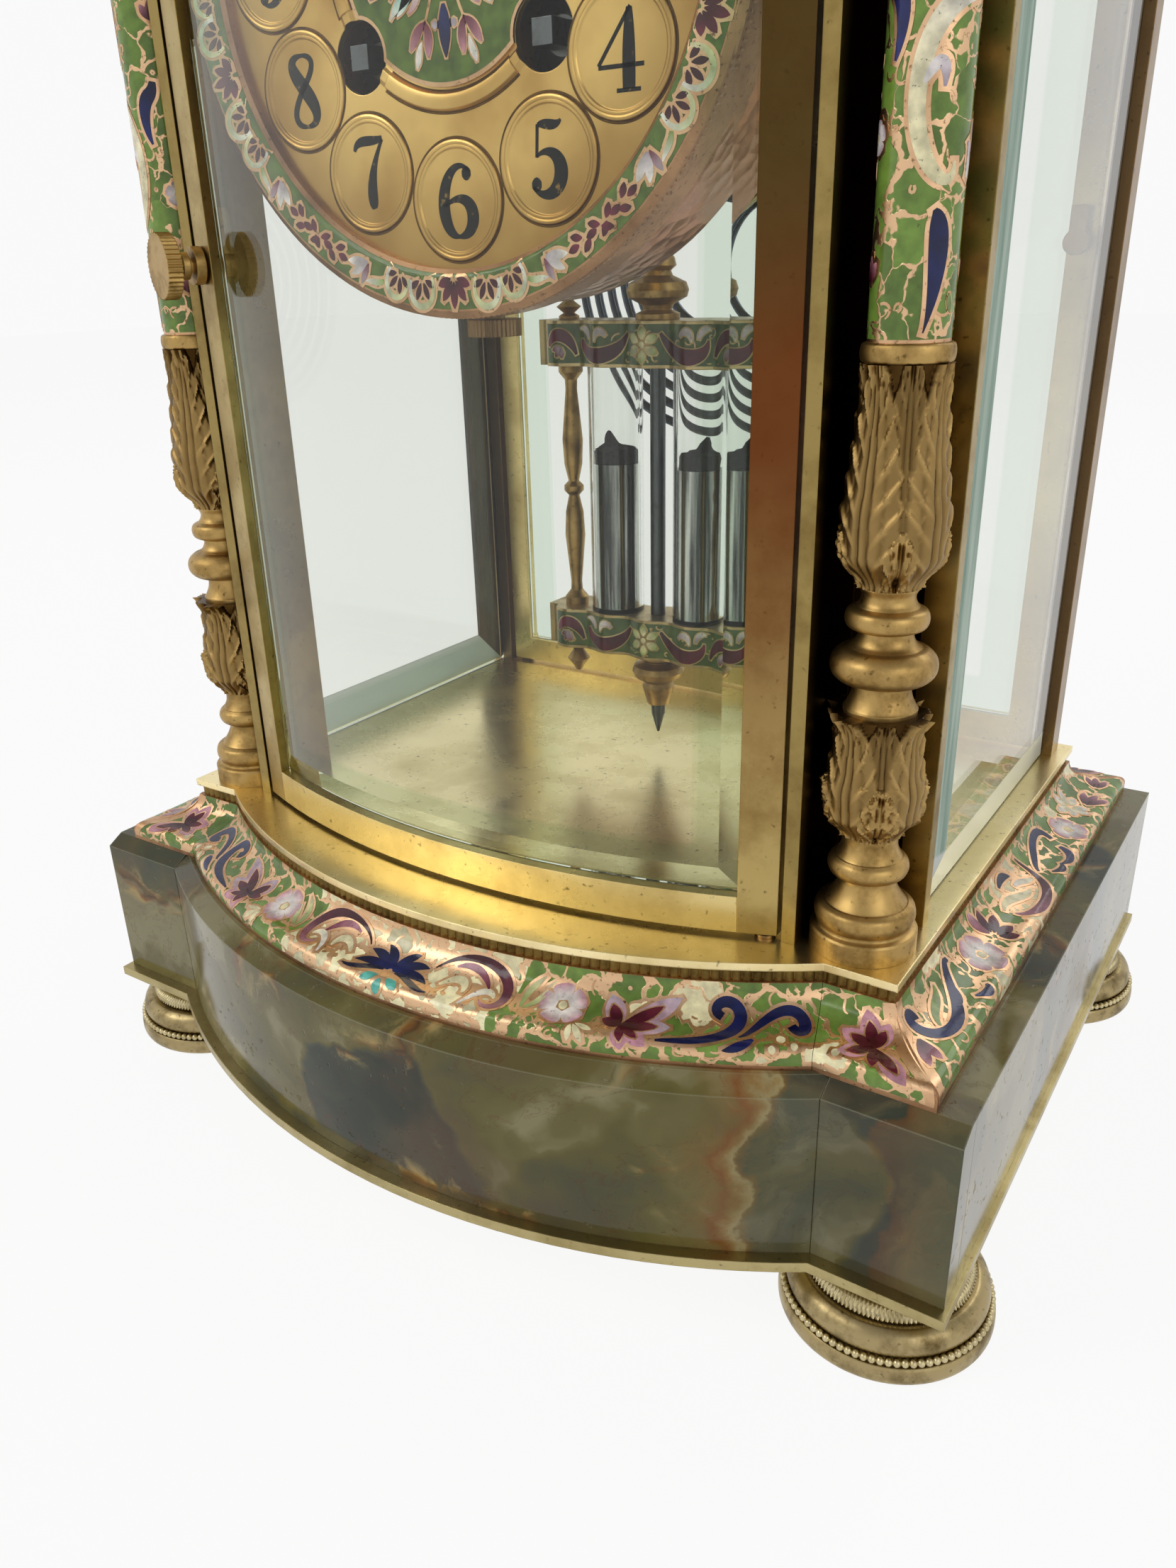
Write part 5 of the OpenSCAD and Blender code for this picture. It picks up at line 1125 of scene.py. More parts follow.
cast_leaves("column_cup_leaves", "column_leaf_cups", [5, 8, 8.4, 7.6, 7.4, 8], 1.5,
            [(4, -62, 0.6, (0.2, 1.1), 5, tall_leaf, 0.5),
             (4, -17, 0.86, (-0.12, 1.12), 6, tall_leaf, 0.85),
             (4, -62, 0.5, (-0.06, 0.5), 4, round_leaf, 1.1)], flare=1.6)
cast_leaves("column_vase_leaves", "column_leaf_vases", [4.8, 8.2, 8.3, 7.6, 7.1, 6.8, 6.8], 1.3,
            [(4, -62, 0.6, (0.2, 1.12), 8, tall_leaf, 0.5),
             (4, -17, 0.86, (-0.1, 1.1), 9, tall_leaf, 0.85),
             (4, -62, 0.36, (-0.05, 0.3), 3, round_leaf, 1.1)], flare=0.8)
cast_leaves("capital_leaves", "column_capitals", [5.8, 7, 7.4, 7.6, 8.2, 8.8], 1.3,
            [(4, -62, 0.6, (0.2, 1.12), 6, tall_leaf, 0.5),
             (4, -17, 0.86, (-0.1, 1.1), 7, tall_leaf, 0.85),
             (4, -62, 0.42, (-0.05, 0.42), 4, round_leaf, 1.1)], flare=0.6)

shaft_h = shaft_high[2] - shaft_low[2]
shaft_half = math.pi * shaft_r
spray_step = 49
shaft_spray = [
    ((WHITE, CREAM, CREAM, CREAM, CREAM), [1.3, 1.6, 1.0, 1.3, 1.2, 1.0, 0.9, 0.2],
     [(8.6, 44), (4, 43), (0.5, 40), (-1.2, 33), (-0.6, 25), (3, 19.5), (7, 19.4), (6.6, 23.6)]),
    ((WHITE, LILAC), [0.3, 1.1, 1.0, 0.2], [(1.6, 33), (3, 36.5), (4.6, 36), (4.2, 32.5)]),
    ((NAVY, BLUE, NAVY), [0.3, 2.2, 1.6, 1.3, 0.3, 0.1],
     [(4.2, 17.6), (5.6, 16), (5.4, 12), (5.4, 8), (4.6, 4), (3.9, 1.4)]),
    ((NAVY, BLUE), [0.6, 1.6, 1.4, 1.2, 0.2], [(-4.6, 47), (-4, 43), (-2, 46), (-1.4, 40), (-3, 36)]),
    ((LILAC, WHITE), [0.2, 1.0, 0.9, 0.2], [(9.5, 26), (10.6, 25), (10.4, 22.6), (9.6, 21.6)]),
    *placed(blossom(2.3, 5, WHITE, LILAC), (-6.4, 27)),
    *placed(rays((MAROON, WINE, PINK), (3.4, 3.8, 3.4), (60, 90, 120), 0.7, 0.4), (-6, 8)),
]
for hand in (1, -1):
    def on_shaft(u, v, lift):
        """A place on the shaft: u round it from the front, v up it."""
        a = u / shaft_r
        return np.stack([hand * (column_x + (shaft_r + lift) * np.sin(a)),
                         column_y - (shaft_r + lift) * np.cos(a), shaft_low[2] + v], axis=-1)

    inlay = Inlay(on_shaft, mirrored=hand < 0)
    u, v = np.meshgrid(np.linspace(-shaft_half + 0.02, shaft_half - 0.02, 64),
                       np.linspace(0.5, shaft_h - 0.5, 40),
                       indexing="ij")
    inlay.ground(np.stack([u, v], axis=-1), GREEN, -0.6)
    chance = random.Random(23)
    inlay.wires(curls(chance, 80, (-shaft_half, shaft_half), (1, shaft_h - 1), (2.5, 7)), 0.2)
    inlay.draw(flecks(chance, (LIME, LIME, CREAM), 24, (-shaft_half + 2, shaft_half - 2),
                      (3, shaft_h - 3), 0.8), 0.12, 0.25)
    for rise in (0, spray_step):
        inlay.draw(placed(shaft_spray, (0, rise)))
    for rise in (0, spray_step):
        for side in (-1, 1):
            behind = placed(shaft_spray, (side * shaft_half, rise))
            inlay.draw([stroke for stroke in behind if np.abs(stroke[2][:, 0]).max() < shaft_half - 1.5
                        and stroke[2][:, 1].max() < shaft_h - 1])
    inlay.finish(f"column_shaft_{'right' if hand > 0 else 'left'}_enamel", "case", "champleve_enamel")
dress(copper, "column_shafts")


# Doors
# Bowed brass front door and flat rear door, each a mitred frame round bevelled glass, on pivots, with a
# # knurled knob that turns a catch. Brushed brass, rubbed bright on the edges. The hinge stile carries a
# # painted reflection and shade, red lower down and brown towards the top.

dress(aged_brass("rubbed_rail_brass", "#dcc688", "#a68b4c", 0.28, cloud=20), "front_door_rails",
      "rear_door_frame")
dress(rear_brass, "door_pivots")
stile_brass = aged_brass("stile_brass_painted_reflection", "#b39c62", "#7a5f30", 0.3)
# Painted reflection and shade on the hinge stile: red low down, turning brown towards the top
red_reflection_z, brown_reflection_z = (0.1, 0.18), (0.19, 0.225)
tree, shader, bright, spot = laid_over(stile_brass)
place = add_node(tree, "SeparateXYZ", {0: spot})
drift = add_node(tree, "TexNoise", {"Vector": spot, "Scale": per_mm(60), "Detail": 3.0})
height = add_node(tree, "Math", {0: drift, 1: 0.05, 2: place.outputs["Z"]}, operation="MULTIPLY_ADD")
reflection_share = add_node(tree, "MapRange",
               {"Value": height, "From Min": red_reflection_z[0], "From Max": red_reflection_z[1], "To Max": 0.93})
hinge = add_node(tree, "Math", {0: place.outputs["X"], 1: 0.0}, operation="GREATER_THAN")
kept = add_node(tree, "Math", {0: reflection_share, 1: hinge}, operation="MULTIPLY")
upper = add_node(tree, "MapRange", {"Value": height, "From Min": brown_reflection_z[0], "From Max": brown_reflection_z[1]})
lacquer = add_node(tree, "Mix", {0: upper, 6: "#642f14", 7: "#463217"}, data_type="RGBA")
painted_reflection = add_node(tree, "Mix", {0: kept, 6: bright, 7: lacquer}, data_type="RGBA")
feed(tree, shader, {"Base Color": painted_reflection})
dress(stile_brass, "front_door_stiles")
dress(turned_gilt, "front_door_knob", "rear_door_knob")


# Dial
# Stamped brass plate, fire gilt and grained, with an embossed ring round each numeral and a raised ring
# round the enamel medallion. The numerals are black lacquer, a little rubbed.

def grained_gilt(name):
    """Fire gilding on grained brass: cloudy, darkened towards the rim by painted shade, soft on embossed
    edges.
    """
    material, tree, shader, spot = new_material(name)
    grain = add_node(tree, "TexNoise", {"Vector": spot, "Scale": per_mm(0.8), "Detail": 4.0})
    clouds = add_node(tree, "TexNoise", {"Vector": spot, "Scale": per_mm(22), "Detail": 6.0})
    age = add_node(tree, "MapRange", {"Value": clouds, "From Min": 0.4, "From Max": 0.7, "To Max": 0.85})
    toned = add_node(tree, "Mix", {0: age, 6: "#efc97e", 7: "#a87e40"}, data_type="RGBA")
    # Painted shade: the gilding darkens towards the rim of the dial
    outward = add_node(tree, "VectorMath",
                       {0: spot, 1: (1, 0, 1), 2: (0, 0, -dial_z / 1000)}, operation="MULTIPLY_ADD")
    far = add_node(tree, "VectorMath", {0: outward}, operation="LENGTH")
    painted_shade = add_node(tree, "MapRange", {"Value": far.outputs["Value"], "From Min": 0.031,
                                          "From Max": 0.054, "To Max": 0.85})
    rim_shaded = add_node(tree, "Mix", {0: painted_shade, 6: toned, 7: "#86602c"}, data_type="RGBA")
    eased = add_node(tree, "Bevel", {"Radius": 0.0003}, samples=4)
    stipple = add_node(tree, "Bump",
                       {"Height": grain, "Strength": 0.25, "Distance": 0.00006, "Normal": eased})
    feed(tree, shader, {"Base Color": rim_shaded, "Normal": stipple, "Metallic": 1.0, "Roughness": 0.32})
    return material


def rubbed_lacquer(name):
    """Black lacquer whose grain lets a little of the gilding through."""
    material, tree, shader, spot = new_material(name)
    wear = add_node(tree, "TexNoise",
                    {"Vector": spot, "Scale": per_mm(2.2), "Detail": 7.0, "Roughness": 0.75})
    bare = add_node(tree, "MapRange", {"Value": wear, "From Min": 0.58, "From Max": 0.64})
    mixed = add_node(tree, "Mix", {0: bare, 6: "#0e0f0e", 7: "#94733a"}, data_type="RGBA")
    feed(tree, shader, {"Base Color": mixed, "Roughness": 0.45, "Specular IOR Level": 0.25})
    return material


dial_low, dial_high = box_mm("dial_medallion")
dial_z = (dial_low[2] + dial_high[2]) / 2
dial_gilt = grained_gilt("grained_gilt_dial")
dress(dial_gilt, "dial_plate")
dial_y = dial_high[1]
numeral_ring = 38.6
ball_r = 1.05
pair_squeeze, pair_pitch = 0.6, 5.4
# Strokes of each figure, as half widths and paths in mm about its middle
hook = ([0.3, 0.3, 1.3, 1.9, 0.3], [(2.6, 4.6), (0.8, 6.9), (-4.6, 5.4), (-4.5, -5.4), (0, -5.6)])
bowl = ([0.3, 1.7, 1.6, 0.3, 0.3], [(0, -5.6), (4.7, -5.6), (4.5, 1.4), (0.2, 1.4), (-2.9, -0.8)])
figures = {
    "0": [([0.3, 1.5, 1.5, 0.3], [(0, 5.6), (s * 4.6, 5.6), (s * 4.6, -5.6), (0, -5.6)])
          for s in (-1, 1)],
    "1": [([1.1, 1.1, 1.1], [(0.3, 5.6), (0.3, 0), (0.3, -5.4)]),
          ([0.5, 0.3, 0.2], [(0.3, 5.3), (-0.9, 4.6), (-2.4, 4.3)]),
          ([0.3, 0.3], [(-2.2, -5.4), (2.8, -5.4)])],
    "2": [([0.5, 0.2, 1.0, 1.9, 0.6, 0.4],
           [(-3, 2.9), (-3.2, 6.8), (3.9, 7), (3.8, 2.4), (0.5, -1.2), (-3.4, -4.8)]),
          ([0.5, 1.2, 1.1, 0.3], [(-3.4, -4.9), (-1, -3), (1.5, -7), (3.6, -4)]), ("ball", (-2.5, 3))],
    "3": [([0.3, 0.3, 1.2, 1.7, 0.3], [(-2.7, 3.6), (-2.4, 6.6), (3.6, 6.8), (3.4, 0.9), (0, 0.6)]),
          ([0.3, 1.6, 2.0, 0.5, 0.3], [(0, 0.6), (4.8, 0.6), (4.6, -6.6), (-1.6, -6.6), (-3.2, -3.4)]),
          ("ball", (-2.3, 3.5)), ("ball", (-2.6, -3.2))],
    "4": [([0.3, 0.3], [(1.6, 5.6), (-4.2, -1.9)]), ([0.32, 0.32], [(-4.2, -2.1), (4, -2.1)]),
          ([0.5, 1.2, 1.2, 1.1], [(1.4, 5.5), (1.3, 2), (1.3, -2), (1.3, -5.3)]),
          ([0.3, 0.3], [(-0.9, -5.4), (3.4, -5.4)])],
    "5": [([0.3, 1.0, 0.9, 0.2], [(-2, 5.2), (-0.4, 5.6), (1.4, 4.4), (2.6, 5.7)]),
          ([0.3, 0.28], [(-2, 5.3), (-2.3, 0.5)]),
          ([0.25, 0.4, 1.6, 2.1, 0.5, 0.3],
           [(-2.3, 0.6), (-0.5, 2.2), (4.6, 2.2), (4.5, -5.8), (-1, -6.6), (-3.1, -3.8)]),
          ("ball", (-2.5, -3.5))],
    "6": [hook, bowl, ("ball", (2.2, 4.2))],
    "7": [([0.3, 0.9, 1.0, 0.4], [(-3.4, 3.8), (-2.6, 6.2), (0.4, 4.8), (3.2, 5.6)]),
          ([0.3, 0.4, 1.2, 1.6, 0.5], [(3.2, 5.4), (0.4, 1.2), (-0.3, -1.5), (0, -4.6), (0.3, -5.6)])],
    "8": [([0.3, 0.9, 1.7, 1.7, 0.9, 0.3],
           [(0, 5.6), (-4.6, 5.6), (-3.6, 1.4), (3.7, -0.2), (4.6, -5.6), (0, -5.6)]),
          ([0.3, 0.8, 0.4, 0.4, 1.0, 0.3],
           [(0, 5.6), (4.2, 5.6), (3.8, 1.4), (-3.9, 0), (-4.8, -5.6), (0, -5.6)])],
    "9": [(w, [(-x, -y) for x, y in p]) for w, p in (hook, bowl)] + [("ball", (-2.2, -4.2))],
}


def on_dial(u, v, lift):
    """A place on the dial plate: u to the right and v up from its middle."""
    return np.stack([u, np.broadcast_to(dial_y - lift, u.shape), dial_z + v], axis=-1)


ring_r, ring_half_w, ring_rise = 9.1, 0.5, 0.5
medallion_r = (dial_high[0] - dial_low[0]) / 2
ring_parts, groove_shade_parts = [], []
b = np.linspace(0, 2 * math.pi, 8, endpoint=False)
round_arc = np.linspace(0, 2 * math.pi, 72, endpoint=False)
# Arc, hour angle, distance from the middle, radius, half width and rise of each raised ring
rings = [(round_arc, 2 * math.pi * hour / 12, numeral_ring, ring_r, ring_half_w, ring_rise)
         for hour in range(12)]
wind_x, wind_z, wind_r = 19.2, 15.4, 5.6
hole_at = math.atan2(wind_x, wind_z)
centre_r = medallion_r + 2.1
hole_half = 2 * math.asin((wind_r + 1.3) / 2 / centre_r)
low_arc = np.linspace(hole_half - hole_at, hole_at - hole_half, 30) - math.pi / 2
high_arc = np.linspace(hole_at + hole_half, 2 * math.pi - hole_at - hole_half, 70) - math.pi / 2
rings += [(arc, 0, 0, centre_r, 1.5, 0.9) for arc in (low_arc, high_arc)]
for arc, h, out, r, half, rise in rings:
    sections = [(r + half * np.cos(b), rise * np.sin(b), ring_parts)]
    # Thin dark sheets of painted shade along the grooves beside each raised ring
    for at, line in ((r + half + 0.2, 0.2), (r - half - 0.15, 0.13)):
        reach = at + line * np.array([-1, 1, 1, -1])
        sections.append((reach, np.array([0.03, 0.03, -0.05, -0.05]), groove_shade_parts))
    for reach, lift, parts in sections:
        u = out * math.sin(h) + reach[None, :] * np.cos(arc)[:, None]
        v = out * math.cos(h) + reach[None, :] * np.sin(arc)[:, None]
        loops = on_dial(u, v, lift[None, :] * np.ones_like(u))
        parts.append(loft(loops, wrap=arc is round_arc))
add_piece("dial_raised_rings", *joined(ring_parts), [dial_gilt], "case", "gilt_dial")
# Painted shade in the grooves, as a dark brown brass
groove_shade_brass = aged_brass("painted_groove_shade", "#6f5024", "#3d2a10", 0.5, cloud=5)
add_piece("dial_groove_shade", *joined(groove_shade_parts), [groove_shade_brass], "case", "gilt_dial")
lacquer = rubbed_lacquer("rubbed_black_lacquer")
numerals = Inlay(on_dial)
for hour in range(1, 13):
    a = 2 * math.pi * hour / 12
    text = str(hour)
    for k, figure in enumerate(text):
        squeeze = 1.0 if len(text) == 1 else pair_squeeze
        shift = (k - (len(text) - 1) / 2) * pair_pitch
        for widths, path in figures[figure]:
            if widths == "ball":
                (_, widths, path), = dot(NAVY, ball_r, path)
            path = np.asarray(path, float) * [squeeze, 1] + [shift, 0]
            grid = brush(path, np.asarray(widths) * (0.55 + 0.45 * squeeze))
            grid = grid + [numeral_ring * math.sin(a), numeral_ring * math.cos(a)]
            numerals.slab(grid, 0.05, [linear("#191b1a")] * len(grid))
paint = numerals.finish("dial_numerals", "case", "gilt_dial")
paint.data.materials[0] = lacquer


# Medallion and bezel
# Champleve copper like the mouldings: a round medallion of sprays in the middle of the dial, and a ring
# of palmettes and shells in front of the dial's edge. The drum behind is spun copper, dimpled by hammering.

face = dial_low[1]


def on_medallion(u, v, lift):
    """A place on the medallion, from its middle."""
    return np.stack([u, np.broadcast_to(face - lift, u.shape), dial_z + v], axis=-1)


inlay = Inlay(on_medallion)
around, radius = np.meshgrid(np.linspace(0, 2 * math.pi, 121), np.linspace(4.2, medallion_r - 0.7, 9),
                             indexing="ij")
disc = np.stack([radius * np.cos(around), radius * np.sin(around)], axis=-1)
# Three sectors, drawn in round the two winding holes
for first in (0, 40, 80):
    grid = disc[first:first + 41]
    clear = np.hypot(np.abs(grid[..., 0]) - wind_x, grid[..., 1] + wind_z)
    pull = np.clip((wind_r + 0.6) / np.maximum(clear, 0.1), 1, None)
    centre = np.stack([np.sign(grid[..., 0]) * wind_x, np.full_like(clear, -wind_z)], axis=-1)
    grid = np.where((pull > 1)[..., None], centre + (grid - centre) * pull[..., None], grid)
    inlay.ground(grid, MOSS)
tulip = [((WINE, PINK), [0.2, 1.1, 1.0, 0.1], [(0, 12.6), (-1.6, 14), (-1.5, 16), (-2.0, 17.2)]),
         ((WINE, PINK), [0.2, 1.1, 1.0, 0.1], [(0, 12.6), (1.6, 14), (1.5, 16), (2.0, 17.2)]),
         ((WHITE,), [0.1, 0.8, 0.8, 0.1], [(0, 15.4), (0.4, 17), (-0.2, 18.4), (0, 19.4)])]
pendant = [((BLUE, NAVY), [0.3, 1.6, 1.5, 0.1], [(0, 9.6), (0, 12), (0, 14.4), (0, 17.2)]),
           *dot(LILAC, 0.6, (-2.0, 12.4)), *dot(LILAC, 0.6, (2.0, 12.4))]
spray = [((TURQUOISE, TURQUOISE, WHITE), [0.2, 1.3, 1.3, 0.1],
          [(0, 7.6), (-1.2, 10), (1.2, 12.5), (0.4, 15.6)]),
         ((WHITE, PINK), [0.1, 0.8, 0.8, 0.1], [(0.8, 8), (2.4, 10), (2.6, 12), (2.2, 13.6)])]
for k in range(4):
    middle = 180 + 90 * k
    inlay.draw(placed(pendant, (0, 0), middle), line=0.3)
    for side in (-1, 1):
        inlay.draw(placed(tulip, (0, 0), middle + 19 * side), line=0.3)
        stem = placed([((), (1,), [(0, 6), (0.5 * side, 9), (0, 12.6)])], (0, 0), middle + 19 * side)
        inlay.wires([stem[0][2]], 0.22)
        if k == 0 or side > 0:
            inlay.draw(placed(spray, (0, 0), middle + 45 * side, 0.92 if k == 0 else 1, side), line=0.3)
inlay.finish("medallion_enamel", "case", "champleve_enamel")
dress(copper, "dial_medallion")
dress(edge_copper, "bezel")

bezel_low, bezel_high = box_mm("bezel")
bezel_r = bezel_high[0]
slope_r, face_r, ring_out = bezel_r - 8.1, bezel_r - 6.9, bezel_r - 1.2
ring_in = face_r - 0.6
ring_mid = (ring_in + ring_out) / 2
ring_w = 5.7
stretch = (ring_out - ring_in) / ring_w


def on_bezel(u, v, lift):
    """A place on the bezel: u round it from the bottom, v outwards, over its inner slope and its face."""
    a = u / ring_mid
    r = ring_in + v * stretch
    y = bezel_low[1] + np.interp(r, (slope_r, face_r, ring_out), (1.2, 0.2, 0)) - lift
    return np.stack([r * np.sin(a), y, dial_z - r * np.cos(a)], axis=-1)


inlay = Inlay(on_bezel, mirrored=True)
ring_half = math.pi * ring_mid
rows = np.r_[0.1, (face_r - ring_in) / stretch, np.linspace(1.2, ring_w - 0.3, 4)]
u, v = np.meshgrid(np.linspace(-ring_half + 0.01, ring_half - 0.01, 200), rows, indexing="ij")
inlay.ground(np.stack([u, v], axis=-1), MOSS)
repeat = 2 * ring_half / 5
shell = [((CREAM, LIME, WHITE), [0.3, 0.55, 0.5, 0.55, 0.3],
          [(-2.4, -1.8), (-3.6, 2.2), (0, 4.2), (3.6, 2.2), (2.6, -1.6)])]
shell += placed(rays((MAROON, MAROON), (3.2, 3.6, 3.6, 3.2), (30, 68, 112, 150), 0.5, 0.9), (0, -1.9))
drop = [((MAROON, WINE), [0.1, 0.85, 0.8, 0.1], [(0, 0), (0.8, 0.1), (1.6, 0), (2.4, 0)])]
unit = placed(rays((MAROON, WINE), (3.8, 4.4, 4.8, 4.4, 3.8), (22, 56, 90, 124, 158), 0.72, 0.8),
              (0, 0.5))
for side in (-1, 1):
    unit += placed(shell, (side * 7.2, 2.9), side * 8, 1.0, side)
    unit += placed(shell, (side * 13.2, 2.7), side * -14, 0.92, side)
    unit += placed([((LIME, WHITE), [0.3, 0.7, 0.5, 0.1], [(0, 0), (1.4, 1), (2.8, 0.6), (4, 1.2)])],
                   (side * 16.2, 3.2), 0, 1, side)
    unit += placed(rays((LILAC, WHITE), (4.8, 4.4), (18, 46), 0.7, 0.3), (side * 20.6, 1.4), 0, 1, side)
    unit += placed(rays((WINE, LILAC), (3.8,), (80,), 0.6, 0.3), (side * 20.4, 1.4), 0, 1, side)
    drops = ((3.0, 0), (1.3, 30), (4.4, -30), (2.9, 0), (1.4, 35), (4.4, -35))
    for step, (at_v, lean) in enumerate(drops):
        unit += placed(drop, (side * (25.4 + 1.35 * step), at_v), side * lean, 0.95, side)
for k in range(5):
    inlay.draw(placed(unit, ((k - 2) * repeat, 0)), line=0.5)
inlay.finish("bezel_enamel", "case", "champleve_enamel")


def hammered_copper(name):
    """Spun copper, dimpled all over by small hammer blows, which break up its reflections."""
    material, tree, shader, spot = new_material(name)
    dimples = add_node(tree, "TexVoronoi", {"Vector": spot, "Scale": per_mm(3.2), "Randomness": 0.9})
    clouds = add_node(tree, "TexNoise", {"Vector": spot, "Scale": per_mm(16), "Detail": 6.0})
    toned = add_node(tree, "Mix", {0: clouds, 6: "#c38c63", 7: "#80543b"}, data_type="RGBA")
    blows = add_node(tree, "Bump",
                     {"Height": dimples.outputs["Distance"], "Strength": 0.75, "Distance": 0.0003})
    feed(tree, shader, {"Base Color": toned, "Normal": blows, "Metallic": 1.0, "Roughness": 0.24})
    return material


dress(hammered_copper("hammered_drum_copper"), "movement_drum")

skirt_count = 300
# Radius, depth behind the bezel's front and rise of the ribs
skirt_profile = [(bezel_r - 0.4, 1.5, 0), (bezel_r + 0.02, 1.6, 0.12), (bezel_r + 0.02, 2.5, 0.12),
                 (bezel_r - 0.4, 2.6, 0)]
skirt_turn = np.linspace(0, 2 * math.pi, 4 * skirt_count, endpoint=False)
skirt = []
for radius, y, rise in skirt_profile:
    r = radius + rise * np.cos(skirt_count * skirt_turn)
    skirt.append(np.stack([r * np.cos(skirt_turn), np.full_like(skirt_turn, bezel_low[1] + y),
                           dial_z + r * np.sin(skirt_turn)], axis=-1))
add_piece("bezel_milled_line", *loft(skirt, wrap=True), [edge_copper], "case", "champleve_enamel")


# Hands
# Pierced leaf hands, sawn from steel and blued nearly black.

def plain_steel(name, colour, roughness):
    """Ground steel: fine lapping lines and a little oxide."""
    material, tree, shader, spot = new_material(name)
    lines = add_node(tree, "TexNoise",
                     {"Vector": spot, "Scale": per_mm(2.2), "Detail": 8.0, "Roughness": 0.7})
    oxide = add_node(tree, "MapRange", {"Value": lines, "From Min": 0.5, "From Max": 0.72, "To Max": 0.6})
    toned = add_node(tree, "Mix", {0: oxide, 6: colour, 7: "#3a3128"}, data_type="RGBA")
    gloss = add_node(tree, "MapRange",
                     {"Value": lines, "To Min": roughness - 0.05, "To Max": roughness + 0.1})
    eased = add_node(tree, "Bevel", {"Radius": 0.0002}, samples=4)
    feed(tree, shader, {"Base Color": toned, "Roughness": gloss, "Normal": eased, "Metallic": 1.0})
    return material


dress(plain_steel("blued_hand_steel", "#20242b", 0.25), "minute_hand", "hour_hand")


# Movement
# Round eight-day striking movement: polished brass plates with pillars, barrels and crossed-out wheels,
# steel arbors, pinions and pallets. The thumb screw under the drum holds the movement in its case.

dress(aged_brass("polished_movement_brass", "#cdb26a", "#a08748", 0.22, cloud=26, stain=0.4),
      "front_plate", "back_plate", "barrel_going", "barrel_strike", "intermediate_wheel", "centre_wheel",
      "third_wheel", "escape_wheel", "minute_wheel", "hour_wheel", "suspension_cock")
dress(rear_brass, "drum_thumb_screw")
arbor_steel = plain_steel("ground_arbor_steel", "#6d7173", 0.28)
dress(arbor_steel, "winding_arbor_going", "winding_arbor_strike", "cannon_pinion", "pallets", "hammer")


# Pendulum
# Steel rod carrying two enamelled bars, held apart by gilt balusters, with two glass vials of mercury
# between them. A dark crust of oxide lies on the mercury.

dress(plain_steel("dark_rod_steel", "#565b5d", 0.3), "pendulum_rod")
dress(turned_gilt, "pendulum_balusters", "rating_nut")
dress(plate_glass("thin_vial_glass", "#f7f8f6"), "pendulum_vials")


def quicksilver(name):
    """Mercury behind glass: a mirror, with upright stripes of painted reflection, dark and light, in its
    colour.
    """
    material, tree, shader, spot = new_material(name)
    # Painted reflection: upright dark and light stripes mixed into the mercury's colour
    oxide = upright_streaks(tree, spot, 1.6, 5.0, 0.03)
    streak = add_node(tree, "MapRange", {"Value": oxide, "From Min": 0.38, "From Max": 0.62})
    reflection_striped = add_node(tree, "Mix", {0: streak, 6: "#2c2e2c", 7: "#c9cbc6"}, data_type="RGBA")
    feed(tree, shader, {"Base Color": reflection_striped, "Metallic": 1.0, "Roughness": 0.1})
    return material


dress(quicksilver("quicksilver"), "pendulum_mercury")
bar_brass = aged_brass("pale_bar_brass", "#bba678", "#7c6640", 0.32, cloud=6)
dress(bar_brass, "pendulum_bars")
bar_low, bar_high = box_mm("pendulum_bars")
bar_y = (bar_low[1] + bar_high[1]) / 2
bar_h = 10.0
bar_half = bar_high[0]
bar_enamel_half, bar_margin = 26.4, 0.7
bar_marks = np.linspace(-bar_half, bar_half, 49)
vial_x = 11.5
bar_ends = np.where(np.abs(bar_marks) > bar_half - 3, 2.0, 0)
bar_depths = 6.4 + 0.8 * np.cos(2 * math.pi * bar_marks / vial_x) - bar_ends
bar_leaf = [
    ((MAROON, MAROON, WINE), [0.3, 1.5, 2.3, 1.6, 0.2],
     [(4.2, 7.4), (7, 2.6), (11, 1.6), (16, 1.8), (16.4, 6)]),
    ((LILAC, WHITE), [0.2, 1.0, 1.0, 0.1], [(9.6, 6.8), (10.8, 8.4), (12.4, 8), (12.6, 5.6)]),
    ((LILAC, WHITE), [0.2, 0.9, 0.8, 0.1], [(14.2, 6.2), (14.6, 8.2), (16, 8.6), (17, 8.2)]),
    ((MAROON, WINE), [0.3, 1.5, 1.9, 0.3], [(18.2, 2.6), (20, 7.4), (23.4, 8.4), (25.2, 4.4)]),
    *placed(rays((LILAC, WINE), (2.6, 2.8, 2.6), (-20, -55, -90), 0.6, 0.3), (21.6, 4.4)),
]
eye = placed(rays((CREAM, LIME), (3.9,) * 6, (90, 150, 210, 270, 330, 30), 0.85, 1.1),
             (0, 5)) + dot(CREAM, 0.7, (0, 5))
bar_strokes = eye + bar_leaf + placed(bar_leaf, (0, 0), flip=-1)
